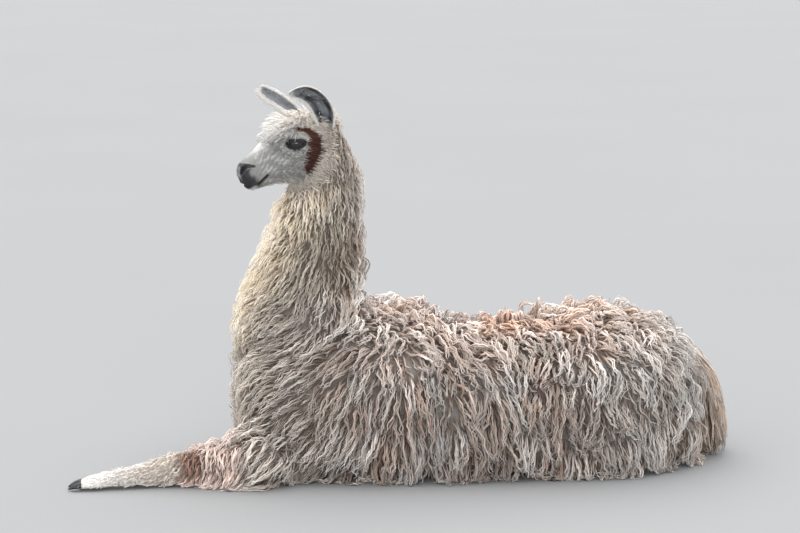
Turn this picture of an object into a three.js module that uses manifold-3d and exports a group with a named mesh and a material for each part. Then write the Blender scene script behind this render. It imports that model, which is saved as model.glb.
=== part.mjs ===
// A llama lying on its folded legs with the left foreleg stretched out in front, at its size in life.
// Millimetres, +Z up. The llama looks along -X and its left side is -Y. The origin is on the floor,
// under the middle of the whole animal. The solids are drawn out to the tips of the coat: the body is
// made whole and then parted with thin cuts, and the legs that it lies on sit in pockets below it.
import * as THREE from "three";
import { mergeVertices } from "three/addons/utils/BufferGeometryUtils.js";
import Module from "manifold-3d";

const wasm = await Module();
wasm.setup();

// ---- Driving dimensions -------------------------------------------------------------------------
const GAP = 0.4; // between two neighbouring solids
const CHEST_X = -406; // where the trunk's front begins to round off
const RUMP_X = 762; // where its rear does
const WITHERS_Z = 440;
const SADDLE_Z = 388; // the dip behind the withers
const CROUP_Z = 430;
const BELLY_HALF = 280; // half the greatest width of the fleece
const BELLY_Z = 150; // height of the greatest width
const NECK_HALF = 92; // half the width of the neck behind the head
const HEAD_AT = new THREE.Vector3(-231, -14, 870); // middle of the brain case
const HEAD_YAW = THREE.MathUtils.degToRad(20); // turned to the animal's left
const HEAD_PITCH = THREE.MathUtils.degToRad(22); // nose down
const MUZZLE_TIP = 230; // in front of HEAD_AT, along the head
const FACE_HALF = 66; // half the width of the head at the eyes
const MOUTH_V = -25; // height of the mouth line in the head's own frame
const EYE = { u: 66, w: 46, v: 21, radius: 20 };
const EAR_HALF = 22;
const LEG_Y = -192; // line of the stretched foreleg
const KNEE_X = -586;
const FETLOCK_X = -762;
const TAIL_X = 832; // line of the hanging tail
const TAIL_HALF = 74;
const WIDE = 600; // beyond the animal on every side

// ---- Colours ------------------------------------------------------------------------------------
const CREAM = 0xd8c9ad;
const FLEECE = 0xc9b7a3;
const WHITE = 0xd9d6d0;
const GREY = 0x8f8c8e;
const TAN = 0xb89878;
const BLUSH = 0xcdb0a0;
const DARK = 0x2a2422;

// ---- Shape tools --------------------------------------------------------------------------------
const DOME_RINGS = 2; // rings that round off each end of a loft
const LEFTWARD = new THREE.Vector3(0, -1, 0);
const RIGHTWARD = new THREE.Vector3(0, 1, 0);
const WORLD = new THREE.Matrix4();

function signedPower(value, power) {
  return Math.sign(value) * Math.abs(value) ** power;
}

/**
 * A closed body round a smooth line through sections. Each section is
 * [x, y, z, half width, size above, size below], where "above" is the side of tangent x across.
 */
function loft(sections, options) {
  const { sides, rings, domes, grow, square = 2, across = RIGHTWARD, relief = () => 0 } = options;
  const line = new THREE.CatmullRomCurve3(sections.map((s) => new THREE.Vector3(s[0], s[1], s[2])));
  const sizes = new THREE.CatmullRomCurve3(sections.map((s) => new THREE.Vector3(s[3], s[4], s[5])));
  line.curveType = "catmullrom";
  sizes.curveType = "catmullrom";
  const frames = [];
  const addFrame = (t, shift, scale) => {
    const tangent = line.getTangent(t);
    const up = new THREE.Vector3().crossVectors(tangent, across).normalize();
    const side = new THREE.Vector3().crossVectors(up, tangent);
    const centre = line.getPoint(t).addScaledVector(tangent, shift);
    frames.push({ t, scale, centre, up, side, size: sizes.getPoint(t) });
  };
  for (let k = DOME_RINGS - 1; k > 0; k -= 1) {
    const turn = (k / DOME_RINGS) * (Math.PI / 2);
    addFrame(0, -(domes[0] + grow) * Math.sin(turn), Math.cos(turn));
  }
  for (let k = 0; k <= rings; k += 1) {
    addFrame(k / rings, 0, 1);
  }
  for (let k = 1; k < DOME_RINGS; k += 1) {
    const turn = (k / DOME_RINGS) * (Math.PI / 2);
    addFrame(1, (domes[1] + grow) * Math.sin(turn), Math.cos(turn));
  }
  const points = [];
  const addPoint = (p) => points.push(p.x, p.y, p.z);
  frames.forEach((frame) => {
    for (let j = 0; j < sides; j += 1) {
      const angle = (j / sides) * Math.PI * 2;
      const reach = frame.scale * (1 + relief(frame.t, angle));
      const upSize = (Math.sin(angle) > 0 ? frame.size.y : frame.size.z) * reach + grow;
      const sideSize = frame.size.x * reach + grow;
      const point = frame.centre.clone();
      point.addScaledVector(frame.side, sideSize * signedPower(Math.cos(angle), 2 / square));
      point.addScaledVector(frame.up, upSize * signedPower(Math.sin(angle), 2 / square));
      addPoint(point);
    }
  });
  const first = points.length / 3;
  addPoint(line.getPoint(0).addScaledVector(line.getTangent(0), -domes[0] - grow));
  addPoint(line.getPoint(1).addScaledVector(line.getTangent(1), domes[1] + grow));
  const faces = [];
  for (let i = 0; i < frames.length - 1; i += 1) {
    for (let j = 0; j < sides; j += 1) {
      const a = i * sides + j;
      const b = i * sides + ((j + 1) % sides);
      faces.push(a, b, a + sides, b, b + sides, a + sides);
    }
  }
  const last = (frames.length - 1) * sides;
  for (let j = 0; j < sides; j += 1) {
    const next = (j + 1) % sides;
    faces.push(first, next, j);
    faces.push(first + 1, last + j, last + next);
  }
  const geometry = new THREE.BufferGeometry();
  geometry.setAttribute("position", new THREE.Float32BufferAttribute(points, 3));
  geometry.setIndex(faces);
  return geometry;
}

/** A three.js geometry as a solid that can be joined and cut. */
function solid(geometry) {
  const bare = geometry.clone();
  bare.deleteAttribute("normal");
  bare.deleteAttribute("uv");
  const merged = mergeVertices(bare, 1e-4);
  const vertProperties = new Float32Array(merged.attributes.position.array);
  const triVerts = new Uint32Array(merged.index.array);
  return new wasm.Manifold(new wasm.Mesh({ numProp: 3, vertProperties, triVerts }));
}

/** A solid back as a three.js geometry. */
function toGeometry(body) {
  const mesh = body.getMesh();
  const geometry = new THREE.BufferGeometry();
  geometry.setAttribute("position", new THREE.Float32BufferAttribute(mesh.vertProperties, 3));
  geometry.setIndex(Array.from(mesh.triVerts));
  return geometry;
}

function join(...bodies) {
  return bodies.slice(1).reduce((sum, body) => sum.add(body), bodies[0]);
}

function cut(body, ...tools) {
  return tools.reduce((rest, tool) => rest.subtract(tool), body);
}

/**
 * A block whose outline is drawn in the X-Z plane of a frame, from one Y to another. It takes one
 * piece out of a whole; grown by the gap, it takes the room of that piece out of the rest.
 */
function block(outline, from, to, frame, grow) {
  const shape = new THREE.Shape(outline.map(([x, z]) => new THREE.Vector2(x, z)));
  const geometry = new THREE.ExtrudeGeometry(shape, {
    depth: to - from + 2 * grow,
    bevelOffset: grow,
    bevelSize: 0,
    bevelThickness: 0,
    bevelSegments: 0,
  });
  geometry.rotateX(Math.PI / 2);
  geometry.translate(0, to + grow, 0);
  return solid(geometry.applyMatrix4(frame));
}

/** Parts a piece from a whole with a thin cut, and returns [piece, rest]. */
function part(whole, outline, from = -WIDE, to = WIDE, frame = WORLD) {
  const piece = whole.intersect(block(outline, from, to, frame, 0));
  const rest = whole.subtract(block(outline, from, to, frame, GAP));
  return [piece, rest];
}

function rectangle(left, right, low, high) {
  return [[left, low], [right, low], [right, high], [left, high]];
}

/** The outline of a tilted ellipse. */
function oval(x, z, halfLength, halfHeight, tilt, count) {
  return Array.from({ length: count }, (_, k) => {
    const angle = (k / count) * Math.PI * 2;
    const point = new THREE.Vector2(Math.cos(angle) * halfLength, Math.sin(angle) * halfHeight);
    point.rotateAround(new THREE.Vector2(), tilt);
    return [x + point.x, z + point.y];
  });
}

const belowFloor = new THREE.BoxGeometry(4000, 4000, 1000).translate(0, 0, -500);
const underFloor = solid(belowFloor);

// ---- Trunk --------------------------------------------------------------------------------------
/** Hanging locks stand out of the flank as soft upright ridges. */
function flankRelief(t, angle) {
  const ridge = Math.sin(t * 52) * 0.008 + Math.sin(t * 31 + 2) * 0.008;
  return ridge * Math.abs(Math.cos(angle)) + Math.sin(t * 23 + angle * 3) * 0.006;
}

function trunkSection(x, top, half) {
  return [x, 0, BELLY_Z, half, top - BELLY_Z, 290];
}

const trunkBody = solid(
  loft(
    [
      trunkSection(CHEST_X, 340, 196),
      trunkSection(-340, 390, 240),
      trunkSection(-200, 430, 268),
      trunkSection(-48, WITHERS_Z, 276),
      trunkSection(72, 424, BELLY_HALF),
      trunkSection(172, SADDLE_Z, BELLY_HALF),
      trunkSection(292, 391, BELLY_HALF),
      trunkSection(412, 418, 276),
      trunkSection(535, CROUP_Z, 264),
      trunkSection(635, 412, 244),
      trunkSection(704, 370, 208),
      trunkSection(RUMP_X, 314, 160),
    ],
    { sides: 22, rings: 20, square: 2.25, domes: [38, 44], grow: 0, relief: flankRelief },
  ),
);

// ---- Neck ---------------------------------------------------------------------------------------
function neckRelief(t, angle) {
  return Math.sin(angle * 7 + t * 5) * 0.012;
}

// The neck runs upward, so "above" is its back and "below" its front.
const neckBody = solid(
  loft(
    [
      [-290, 0, 215, 205, 160, 158],
      [-286, 0, 320, 196, 175, 164],
      [-272, 0, 400, 176, 172, 170],
      [-262, 0, 470, 150, 167, 154],
      [-242, 0, 550, 124, 155, 138],
      [-224, 0, 620, 108, 140, 122],
      [-213, 0, 690, 98, 121, 116],
      [-206, -2, 760, NECK_HALF, 110, 110],
      [-200, -4, 820, 84, 86, 106],
      [-204, -6, 880, 70, 57, 90],
    ],
    { sides: 20, rings: 12, across: LEFTWARD, domes: [40, 42], grow: 0, relief: neckRelief },
  ),
);

// ---- Head ---------------------------------------------------------------------------------------
// Head pieces are drawn in the head's own frame: X to the nose, Y to the animal's left, Z up.
const headFrame = new THREE.Matrix4()
  .makeRotationZ(Math.PI + HEAD_YAW)
  .multiply(new THREE.Matrix4().makeRotationY(HEAD_PITCH))
  .setPosition(HEAD_AT);

function onHead(geometry) {
  return solid(geometry.applyMatrix4(headFrame));
}

const skullBody = onHead(
  loft(
    [
      [-46, 0, 12, 60, 60, 66],
      [0, 0, 10, 66, 78, 84],
      [40, 0, 8, 69, 84, 92],
      [EYE.u, 0, 6, FACE_HALF, 80, 94],
      [100, 0, 0, 55, 72, 88],
      [130, 0, -4, 43, 62, 76],
      [160, 0, -8, 37, 56, 62],
      [190, 0, -11, 34, 50, 51],
      [MUZZLE_TIP - 20, 0, -12, 30, 40, 40],
    ],
    { sides: 18, rings: 11, square: 2.15, domes: [30, 20], grow: 0 },
  ),
);

const forelockBody = onHead(
  loft(
    [
      [-34, 0, 58, 36, 25, 20],
      [0, 0, 68, 40, 30, 22],
      [40, 0, 72, 44, 29, 24],
      [80, 0, 74, 42, 27, 24],
      [108, 0, 66, 32, 17, 20],
    ],
    { sides: 12, rings: 5, domes: [16, 14], grow: 0 },
  ),
);

/** A nostril: a slanting hollow in the side of the muzzle. */
function nostril(side) {
  const hollow = new THREE.SphereGeometry(8, 8, 6);
  hollow.scale(1.35, 0.7, 0.6);
  hollow.rotateZ(side * -0.35);
  hollow.translate(207, side * 27, 10);
  return onHead(hollow);
}

function eyeball(side, grow) {
  const ball = new THREE.SphereGeometry(EYE.radius + grow, 12, 8);
  return onHead(ball.translate(EYE.u, side * EYE.w, EYE.v));
}

/** An ear: a curved horn of wool, hollowed along the side that listens. */
function ear(path, hollowShift) {
  const widths = [0.72, 1.0, 1.02, 0.86, 0.5];
  const horn = (scale, shift, depth) =>
    onHead(
      loft(
        path.map(([u, w, v], k) => {
          const half = EAR_HALF * widths[k] * scale;
          const at = [u, w, v].map((value, axis) => value + shift[axis] * widths[k]);
          return [...at, half, half * depth, half * depth];
        }),
        { sides: 10, rings: 6, domes: [6, 9], grow: 0, across: new THREE.Vector3(0.5, 0.86, 0) },
      ),
    );
  return horn(1, [0, 0, 0], 0.8).subtract(horn(0.66, hollowShift, 0.7));
}

// The left ear stands up and curls forward; the right one leans forward.
const leftEarLine = [
  [-14, 50, 24],
  [-16, 62, 62],
  [-8, 71, 98],
  [10, 75, 132],
  [40, 74, 150],
];
const rightEarLine = [
  [-4, -46, 40],
  [16, -53, 80],
  [36, -59, 118],
  [52, -64, 148],
  [64, -66, 168],
];
const leftHorn = ear(leftEarLine, [10, 13, -6]);
const rightHorn = ear(rightEarLine, [-8, 6, 9]);

// ---- Legs ---------------------------------------------------------------------------------------
/** A foot of two toes lying on the floor, from its heel along an angle in plan. */
function splitFoot(heel, aim) {
  const ahead = new THREE.Vector3(Math.cos(aim), Math.sin(aim), 0);
  const across = new THREE.Vector3(-ahead.y, ahead.x, 0);
  const at = (along, over, z) => [
    heel[0] + ahead.x * along + across.x * over,
    heel[1] + ahead.y * along + across.y * over,
    z,
  ];
  const toe = (hand) => {
    const root = [...at(30, hand * 12, 19), 15, 15, 22];
    const tip = [...at(78, hand * 15, 12), 11, 10, 18];
    return solid(loft([root, tip], { across, sides: 7, rings: 1, domes: [12, 7], grow: 0 }));
  };
  const nail = (hand, grow) => {
    const root = [...at(70, hand * 15, 12), 8, 8.5, 16];
    const tip = [...at(98, hand * 11, 5), 4, 4, 8];
    return solid(loft([root, tip], { across, sides: 6, rings: 1, domes: [4, 5], grow }));
  };
  const heelEnd = [...at(-8, 0, 24), 25, 21, 32];
  const toeEnd = [...at(46, 0, 19), 27, 17, 26];
  const pad = solid(loft([heelEnd, toeEnd], { across, sides: 10, rings: 2, domes: [10, 10], grow: 0 }));
  const hands = [1, -1];
  const foot = cut(join(pad, ...hands.map(toe)), ...hands.map((hand) => nail(hand, GAP)));
  return { foot, nails: hands.map((hand) => nail(hand, 0)) };
}

const stretchedFoot = splitFoot([FETLOCK_X - 10, LEG_Y - 15], Math.PI + 0.06);
const stretchedLeg = join(
  solid(
    loft(
      [
        [-340, LEG_Y - 4, 74, 66, 70, 100],
        [-410, LEG_Y - 6, 66, 64, 66, 92],
        [-495, LEG_Y - 4, 58, 58, 63, 84],
        [-560, LEG_Y, 54, 46, 46, 74],
        [-618, LEG_Y, 44, 36, 40, 56],
        [-668, LEG_Y - 2, 34, 33, 33, 46],
        [-722, LEG_Y - 8, 29, 30, 26, 36],
        [FETLOCK_X - 4, LEG_Y - 14, 26, 27, 20, 32],
      ],
      { across: LEFTWARD, sides: 14, rings: 14, domes: [20, 10], grow: 0 },
    ),
  ),
  stretchedFoot.foot,
);

/** A limb that the body lies on, in a few plain sides; its pocket is a little larger. */
function buriedLimb(sections, across) {
  const build = (grow) => solid(loft(sections, { across, sides: 8, rings: 4, domes: [10, 10], grow }));
  return { body: build(0), pocket: build(3 * GAP) };
}

/** The two nails at the end of a buried foot that points along X. */
function buriedNails(x, y, heading) {
  return [-13, 13].map((over) => {
    const root = [x, y + over, 9, 8, 8, 12];
    const tip = [x + heading * 22, y + over * 0.8, 6, 5, 5, 8];
    const across = heading > 0 ? RIGHTWARD : LEFTWARD;
    const build = (grow) =>
      solid(loft([root, tip], { across, sides: 6, rings: 1, domes: [3, 5], grow }));
    return { body: build(0), pocket: build(2 * GAP) };
  });
}

// The folded right foreleg kneels under the chest with its foot turned back.
const rightForearm = buriedLimb(
  [
    [-250, 150, 140, 48, 46, 46],
    [-330, 146, 116, 44, 42, 42],
    [-392, 142, 70, 38, 34, 90],
  ],
  LEFTWARD,
);
const rightForeFoot = buriedLimb(
  [
    [-392, 142, 26, 34, 24, 40],
    [-300, 144, 24, 27, 22, 36],
    [-200, 146, 22, 27, 20, 34],
    [-150, 146, 18, 27, 16, 30],
  ],
  RIGHTWARD,
);
const rightForeNails = buriedNails(-134, 146, 1);
rightForearm.body = cut(rightForearm.body, rightForeFoot.pocket);

// Each hind leg folds flat: thigh and shank bulge out of the flank, the foot lies under the belly.
function hindLimbs(side) {
  const thigh = solid(
    loft(
      [
        [330, side * 176, 168, 88, 92, 96],
        [430, side * 172, 190, 96, 116, 110],
        [540, side * 158, 204, 96, 120, 116],
        [630, side * 128, 218, 84, 108, 96],
      ],
      { sides: 12, rings: 5, domes: [34, 34], grow: 0, relief: flankRelief },
    ),
  );
  const shank = solid(
    loft(
      [
        [470, side * 196, 84, 70, 66, 120],
        [560, side * 182, 84, 70, 70, 120],
        [640, side * 158, 80, 66, 72, 116],
        [706, side * 126, 74, 54, 62, 104],
      ],
      { sides: 12, rings: 5, domes: [30, 34], grow: 0, relief: flankRelief },
    ),
  );
  const foot = buriedLimb(
    [
      [560, side * 120, 24, 28, 24, 36],
      [480, side * 124, 23, 26, 22, 34],
      [380, side * 128, 22, 27, 20, 34],
      [330, side * 130, 18, 26, 16, 30],
    ],
    LEFTWARD,
  );
  return { thigh, shank, foot, nails: buriedNails(314, side * 130, -1) };
}
const hindLeft = hindLimbs(-1);
const hindRight = hindLimbs(1);

// ---- Tail ---------------------------------------------------------------------------------------
// The tail runs back and down, so "above" is its outer face.
function tailBody(grow) {
  return solid(
    loft(
      [
        [668, 0, 350, 40, 34, 34],
        [722, 0, 312, 58, 42, 40],
        [780, 0, 248, TAIL_HALF, 44, 40],
        [TAIL_X - 14, 0, 172, TAIL_HALF, 44, 40],
        [TAIL_X, 0, 92, TAIL_HALF - 8, 44, 40],
        [TAIL_X + 2, 0, 10, 56, 40, 38],
      ],
      { sides: 12, rings: 8, domes: [24, 30], grow },
    ),
  );
}

// ---- The whole body, parted with thin cuts ------------------------------------------------------
const hindBulges = [hindLeft.thigh, hindLeft.shank, hindRight.thigh, hindRight.shank];
const whole = cut(
  join(trunkBody, neckBody, skullBody, forelockBody, stretchedLeg, ...hindBulges),
  underFloor,
);

// The head ends behind the cheek, along a line from the poll to the throat.
const headOutline = [
  [-70, 160],
  [-60, 60],
  [-24, 12],
  [-8, -30],
  [16, -68],
  [58, -98],
  [110, -106],
  [300, -106],
  [300, 160],
];
const [headWhole, headless] = part(whole, headOutline, -WIDE / 2, WIDE / 2, headFrame);
// The neck ends along a slanting line from the withers to the breast.
const neckOutline = [
  [-480, 262],
  [-30, 470],
  [60, 1200],
  [-480, 1200],
];
const [neck, trunkAndLegs] = part(headless, neckOutline);

const topknotOutline = [
  [-46, 76],
  [60, 84],
  [132, 66],
  [150, 160],
  [-46, 160],
];
const [topknot, bareHead] = part(headWhole, topknotOutline, -WIDE, WIDE, headFrame);
// The mouth line runs back to its corner, and the jaw's edge falls away behind it.
const jawOutline = [
  [300, MOUTH_V - 2],
  [206, MOUTH_V - 3],
  [168, MOUTH_V + 1],
  [120, MOUTH_V - 28],
  [62, MOUTH_V - 44],
  [30, -140],
  [300, -140],
];
const [lowerJaw, upperHead] = part(bareHead, jawOutline, -WIDE, WIDE, headFrame);
const head = cut(upperHead, nostril(1), nostril(-1), eyeball(1, GAP), eyeball(-1, GAP));

const earLeft = cut(leftHorn, whole);
const earRight = cut(rightHorn, whole);

const withoutTail = cut(trunkAndLegs, tailBody(GAP));

const foreLegOutline = rectangle(-WIDE * 2, -392, -20, 152);
const [foreLeg, withoutForeLeg] = part(withoutTail, foreLegOutline, -WIDE, -118);
const [leftForearm, cannonAndFoot] = part(foreLeg, rectangle(KNEE_X, 0, -20, 200));
const [leftCannon, leftFoot] = part(cannonAndFoot, rectangle(FETLOCK_X, 0, -20, 200));

/** Parts one hind leg's thigh and shank from the trunk. */
function partHindLeg(body, side, foot) {
  const inner = side * 112;
  const [from, to] = side < 0 ? [-WIDE, inner] : [inner, WIDE];
  const [shank, rest] = part(body, oval(600, 62, 150, 84, -0.05, 14), from, to);
  const [thigh, trunk] = part(rest, oval(490, 190, 186, 136, 0.12, 16), from, to);
  return { thigh, shank: cut(shank, foot.pocket), trunk };
}
const leftParts = partHindLeg(withoutForeLeg, -1, hindLeft.foot);
const rightParts = partHindLeg(leftParts.trunk, 1, hindRight.foot);
const buried = [
  rightForearm,
  rightForeFoot,
  ...rightForeNails,
  hindLeft.foot,
  ...hindLeft.nails,
  hindRight.foot,
  ...hindRight.nails,
];
const trunk = cut(rightParts.trunk, ...buried.map((limb) => limb.pocket));

// ---- The model ----------------------------------------------------------------------------------
const llama = new THREE.Group();

function addPart(name, body, color, roughness) {
  const material = new THREE.MeshStandardMaterial({ color, roughness, metalness: 0 });
  const mesh = new THREE.Mesh(toGeometry(body.subtract(underFloor)), material);
  mesh.name = name;
  llama.add(mesh);
}

addPart("trunk", trunk, FLEECE, 0.95);
addPart("neck", neck, CREAM, 0.95);
addPart("head", head, WHITE, 0.85);
addPart("lower_jaw", lowerJaw, WHITE, 0.85);
addPart("topknot", topknot, CREAM, 0.95);
addPart("ear_left", earLeft, GREY, 0.9);
addPart("ear_right", earRight, GREY, 0.9);
addPart("eye_left", eyeball(1, 0), DARK, 0.15);
addPart("eye_right", eyeball(-1, 0), DARK, 0.15);
addPart("tail", tailBody(0), TAN, 0.95);
addPart("forearm_left", leftForearm, BLUSH, 0.95);
addPart("fore_cannon_left", leftCannon, WHITE, 0.95);
addPart("fore_foot_left", leftFoot, WHITE, 0.9);
addPart("forearm_right", rightForearm.body, BLUSH, 0.95);
addPart("fore_foot_right", rightForeFoot.body, WHITE, 0.95);
addPart("thigh_left", leftParts.thigh, FLEECE, 0.95);
addPart("shank_left", leftParts.shank, FLEECE, 0.95);
addPart("hind_foot_left", hindLeft.foot.body, WHITE, 0.9);
addPart("thigh_right", rightParts.thigh, FLEECE, 0.95);
addPart("shank_right", rightParts.shank, FLEECE, 0.95);
addPart("hind_foot_right", hindRight.foot.body, WHITE, 0.9);
stretchedFoot.nails.forEach((nail, k) => addPart(`fore_nail_left_${k + 1}`, nail, DARK, 0.4));
[
  ["fore_nail_right", rightForeNails],
  ["hind_nail_left", hindLeft.nails],
  ["hind_nail_right", hindRight.nails],
].forEach(([name, nails]) => {
  nails.forEach((nail, k) => addPart(`${name}_${k + 1}`, nail.body, DARK, 0.4));
});

export default llama;
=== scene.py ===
"""A still, life-size llama lying on its folded legs: one skin, its eyes and nails, and its fleece."""

import logging
import math
from dataclasses import dataclass, field, fields
from enum import Enum
from itertools import product

import bmesh
import bpy
import numpy as np
from mathutils import Matrix, Vector
from mathutils.bvhtree import BVHTree

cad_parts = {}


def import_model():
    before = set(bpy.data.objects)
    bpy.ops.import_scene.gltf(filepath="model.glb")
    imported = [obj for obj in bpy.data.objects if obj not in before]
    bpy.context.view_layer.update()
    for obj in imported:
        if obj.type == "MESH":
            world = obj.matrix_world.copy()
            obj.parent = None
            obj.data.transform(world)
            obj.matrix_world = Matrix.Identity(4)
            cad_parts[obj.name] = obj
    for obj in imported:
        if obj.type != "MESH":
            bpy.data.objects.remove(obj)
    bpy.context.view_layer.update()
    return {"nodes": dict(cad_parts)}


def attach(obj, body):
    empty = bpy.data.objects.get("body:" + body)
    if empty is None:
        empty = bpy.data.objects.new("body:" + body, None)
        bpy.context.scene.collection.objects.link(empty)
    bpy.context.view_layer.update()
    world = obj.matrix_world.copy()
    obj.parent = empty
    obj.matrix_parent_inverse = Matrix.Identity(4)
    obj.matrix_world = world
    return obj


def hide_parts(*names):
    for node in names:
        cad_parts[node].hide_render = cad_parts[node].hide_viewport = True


LOG = logging.getLogger("llama")
MM = 0.001
BODY = "root"
SEED = 41
FLOOR_CLEARANCE = 2.5 * MM
LOWEST = 0.6 * MM

Array = np.ndarray
Place = tuple[float, float, float]

# ---- The head's own frame: X to the nose, Y to the animal's left, Z up (millimetres) -------------
HEAD_AT = np.array([-231.0, -14.0, 870.0])
HEAD_YAW = math.radians(20)
HEAD_PITCH = math.radians(22)
EYE_AT = np.array([66.0, 46.0, 21.0])
EYE_RADIUS = 20.0
MOUTH_FRONT = 227.0
# The line behind the cheek and ears, where the head's short hair begins, by height.
CHEEK_HEIGHTS = (-1200, -106, -98, -68, -30, 12, 60, 90)
CHEEK_EDGE = (6000, 110, 58, 14, -6, -22, -52, -58)

# ---- The stretched forefoot's own directions (millimetres) ----------------------------------------
HEEL_AT = np.array([-772.0, -207.0, 0.0])
FOOT_AIM = math.pi + 0.06
FOOT_AHEAD = np.array([math.cos(FOOT_AIM), math.sin(FOOT_AIM), 0.0])
FOOT_ACROSS = np.array([-FOOT_AHEAD[1], FOOT_AHEAD[0], 0.0])
UPWARD = np.array([0.0, 0.0, 1.0])


def head_axes() -> Array:
    """The head frame's forward, left and up directions in the world, as the columns of a matrix."""
    turn = Matrix.Rotation(math.pi + HEAD_YAW, 3, "Z") @ Matrix.Rotation(HEAD_PITCH, 3, "Y")
    return np.array(turn)


HEAD_TURN = head_axes()


def head_to_world(points: Array) -> Array:
    """Points of the head's frame in millimetres as world points in metres."""
    return (np.asarray(points, float) @ HEAD_TURN.T + HEAD_AT) * MM


def world_to_head(points: Array) -> Array:
    """World points in metres as points of the head's frame in millimetres."""
    return (np.asarray(points, float) / MM - HEAD_AT) @ HEAD_TURN


def before_cheek(points: Array) -> Array:
    """How far world places lie in front of the line behind the cheek and ears, in millimetres."""
    local = world_to_head(points)
    return local[:, 0] - np.interp(local[:, 2], CHEEK_HEIGHTS, CHEEK_EDGE)


def folded(local: Array) -> Array:
    """Places of the head laid over onto its left side."""
    return np.column_stack([local[:, 0], np.abs(local[:, 1]), local[:, 2]])


# ---- Small numeric tools ------------------------------------------------------------------------
# Waves added up in wander, how tight they are, and what brings their sum to about 1.
WANDER_WAVES = 7
WANDER_PITCH = 2.2
WANDER_EVEN = 3.2


def unit(vectors: Array) -> Array:
    """Vectors scaled to length one along the last axis."""
    lengths = np.linalg.norm(vectors, axis=-1, keepdims=True)
    return vectors / np.maximum(lengths, 1e-9)


def smooth(low: float, high: float, values: Array) -> Array:
    """A soft step from 0 at low to 1 at high."""
    ratio = np.clip((values - low) / (high - low), 0.0, 1.0)
    return ratio * ratio * (3.0 - 2.0 * ratio)


def bump(points: Array, centre: tuple[float, ...], radius: float) -> Array:
    """A soft round mask of the given radius about a centre."""
    gap = np.linalg.norm(points - np.array(centre), axis=-1)
    return np.exp(-((gap / radius) ** 2) / 2.0)


def wander(points: Array, scale: float, seed: int) -> Array:
    """Smooth values between about -1 and 1 that change over space at the given scale."""
    rng = np.random.default_rng(seed)
    total = np.zeros(len(points))
    for _ in range(WANDER_WAVES):
        wave = rng.normal(size=3) * WANDER_PITCH / scale
        total += np.sin(points @ wave + rng.uniform(0, 2 * math.pi))
    return total / WANDER_EVEN


def spline(points: Array, at: Array) -> tuple[Array, Array]:
    """A smooth line through rows of numbers.

    Args:
        points: The rows that the line goes through.
        at: Places along the line, from 0 to 1.

    Returns:
        The values at those places, and how fast they change there.
    """
    padded = np.vstack([2 * points[0] - points[1], points, 2 * points[-1] - points[-2]])
    spans = len(points) - 1
    place = np.clip(np.asarray(at, float), 0, 1) * spans
    first = np.minimum(place.astype(int), spans - 1)
    w = (place - first)[:, None]
    a, b, c, d = (padded[first + k] for k in range(4))
    start, end = 0.5 * (c - a), 0.5 * (d - b)
    square_term = -3 * b + 3 * c - 2 * start - end
    cube_term = 2 * b - 2 * c + start + end
    values = b + start * w + square_term * w**2 + cube_term * w**3
    rates = start + 2 * square_term * w + 3 * cube_term * w**2
    return values, rates


def linear(hex_code: str) -> Array:
    """A colour written as six hex digits, as linear light."""
    levels = np.array([int(hex_code[k : k + 2], 16) / 255 for k in (0, 2, 4)])
    return np.where(levels <= 0.04045, levels / 12.92, ((levels + 0.055) / 1.055) ** 2.4)


# ---- Meshes -------------------------------------------------------------------------------------
@dataclass
class Surface:
    """Points in metres and faces of three or four corners."""

    points: Array
    faces: list[Array]

    def to_mesh(self, name: str) -> bpy.types.Mesh:
        """The surface as a Blender mesh with smooth faces."""
        mesh = bpy.data.meshes.new(name)
        corners = np.concatenate([group.ravel() for group in self.faces]).astype(np.int32)
        sizes = np.concatenate([np.full(len(group), group.shape[1]) for group in self.faces])
        starts = np.concatenate([[0], np.cumsum(sizes)[:-1]]).astype(np.int32)
        mesh.vertices.add(len(self.points))
        mesh.vertices.foreach_set("co", self.points.astype(np.float32).ravel())
        mesh.loops.add(len(corners))
        mesh.loops.foreach_set("vertex_index", corners)
        mesh.polygons.add(len(sizes))
        mesh.polygons.foreach_set("loop_start", starts)
        mesh.polygons.foreach_set("use_smooth", np.ones(len(sizes), dtype=bool))
        mesh.update(calc_edges=True)
        return mesh


def joined(surfaces: list[Surface]) -> Surface:
    """Several surfaces as one, still separate shells."""
    offset = 0
    points, faces = [], []
    for surface in surfaces:
        points.append(surface.points)
        faces.extend(group + offset for group in surface.faces)
        offset += len(surface.points)
    return Surface(np.vstack(points), faces)


def ring_faces(rows: int, sides: int, closed: bool = False) -> Array:
    """Four-cornered faces between rings of points that follow each other.

    Args:
        rows: How many rings there are.
        sides: Points in each ring.
        closed: Whether the last ring joins the first.

    Returns:
        The faces, one row each.
    """
    row = np.arange(rows if closed else rows - 1)[:, None]
    here = np.arange(sides)[None]
    beside = (here + 1) % sides
    low, high = row * sides, (row + 1) % rows * sides
    return np.stack([low + here, low + beside, high + beside, high + here], axis=-1).reshape(-1, 4)


def tube_faces(rows: int, sides: int, inside_out: bool = False) -> list[Array]:
    """The faces of a closed tube whose two end points come after all its rings.

    Args:
        rows: How many rings there are.
        sides: Points in each ring.
        inside_out: Whether the rings run the other way round.

    Returns:
        The faces between the rings, round the first end and round the last end.
    """
    here = np.arange(sides)
    beside = (here + 1) % sides
    last = (rows - 1) * sides
    first_cap = np.stack([np.full(sides, rows * sides), beside, here], axis=-1)
    last_cap = np.stack([np.full(sides, rows * sides + 1), last + here, last + beside], axis=-1)
    groups = [ring_faces(rows, sides), first_cap, last_cap]
    if not inside_out:
        return groups
    return [group[:, [0, *range(group.shape[1] - 1, 0, -1)]] for group in groups]


def into_scene(name: str, data: bpy.types.ID) -> bpy.types.Object:
    """Puts a mesh, a lamp or a camera into the scene as a new object."""
    thing = bpy.data.objects.new(name, data)
    bpy.context.scene.collection.objects.link(thing)
    return thing


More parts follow.
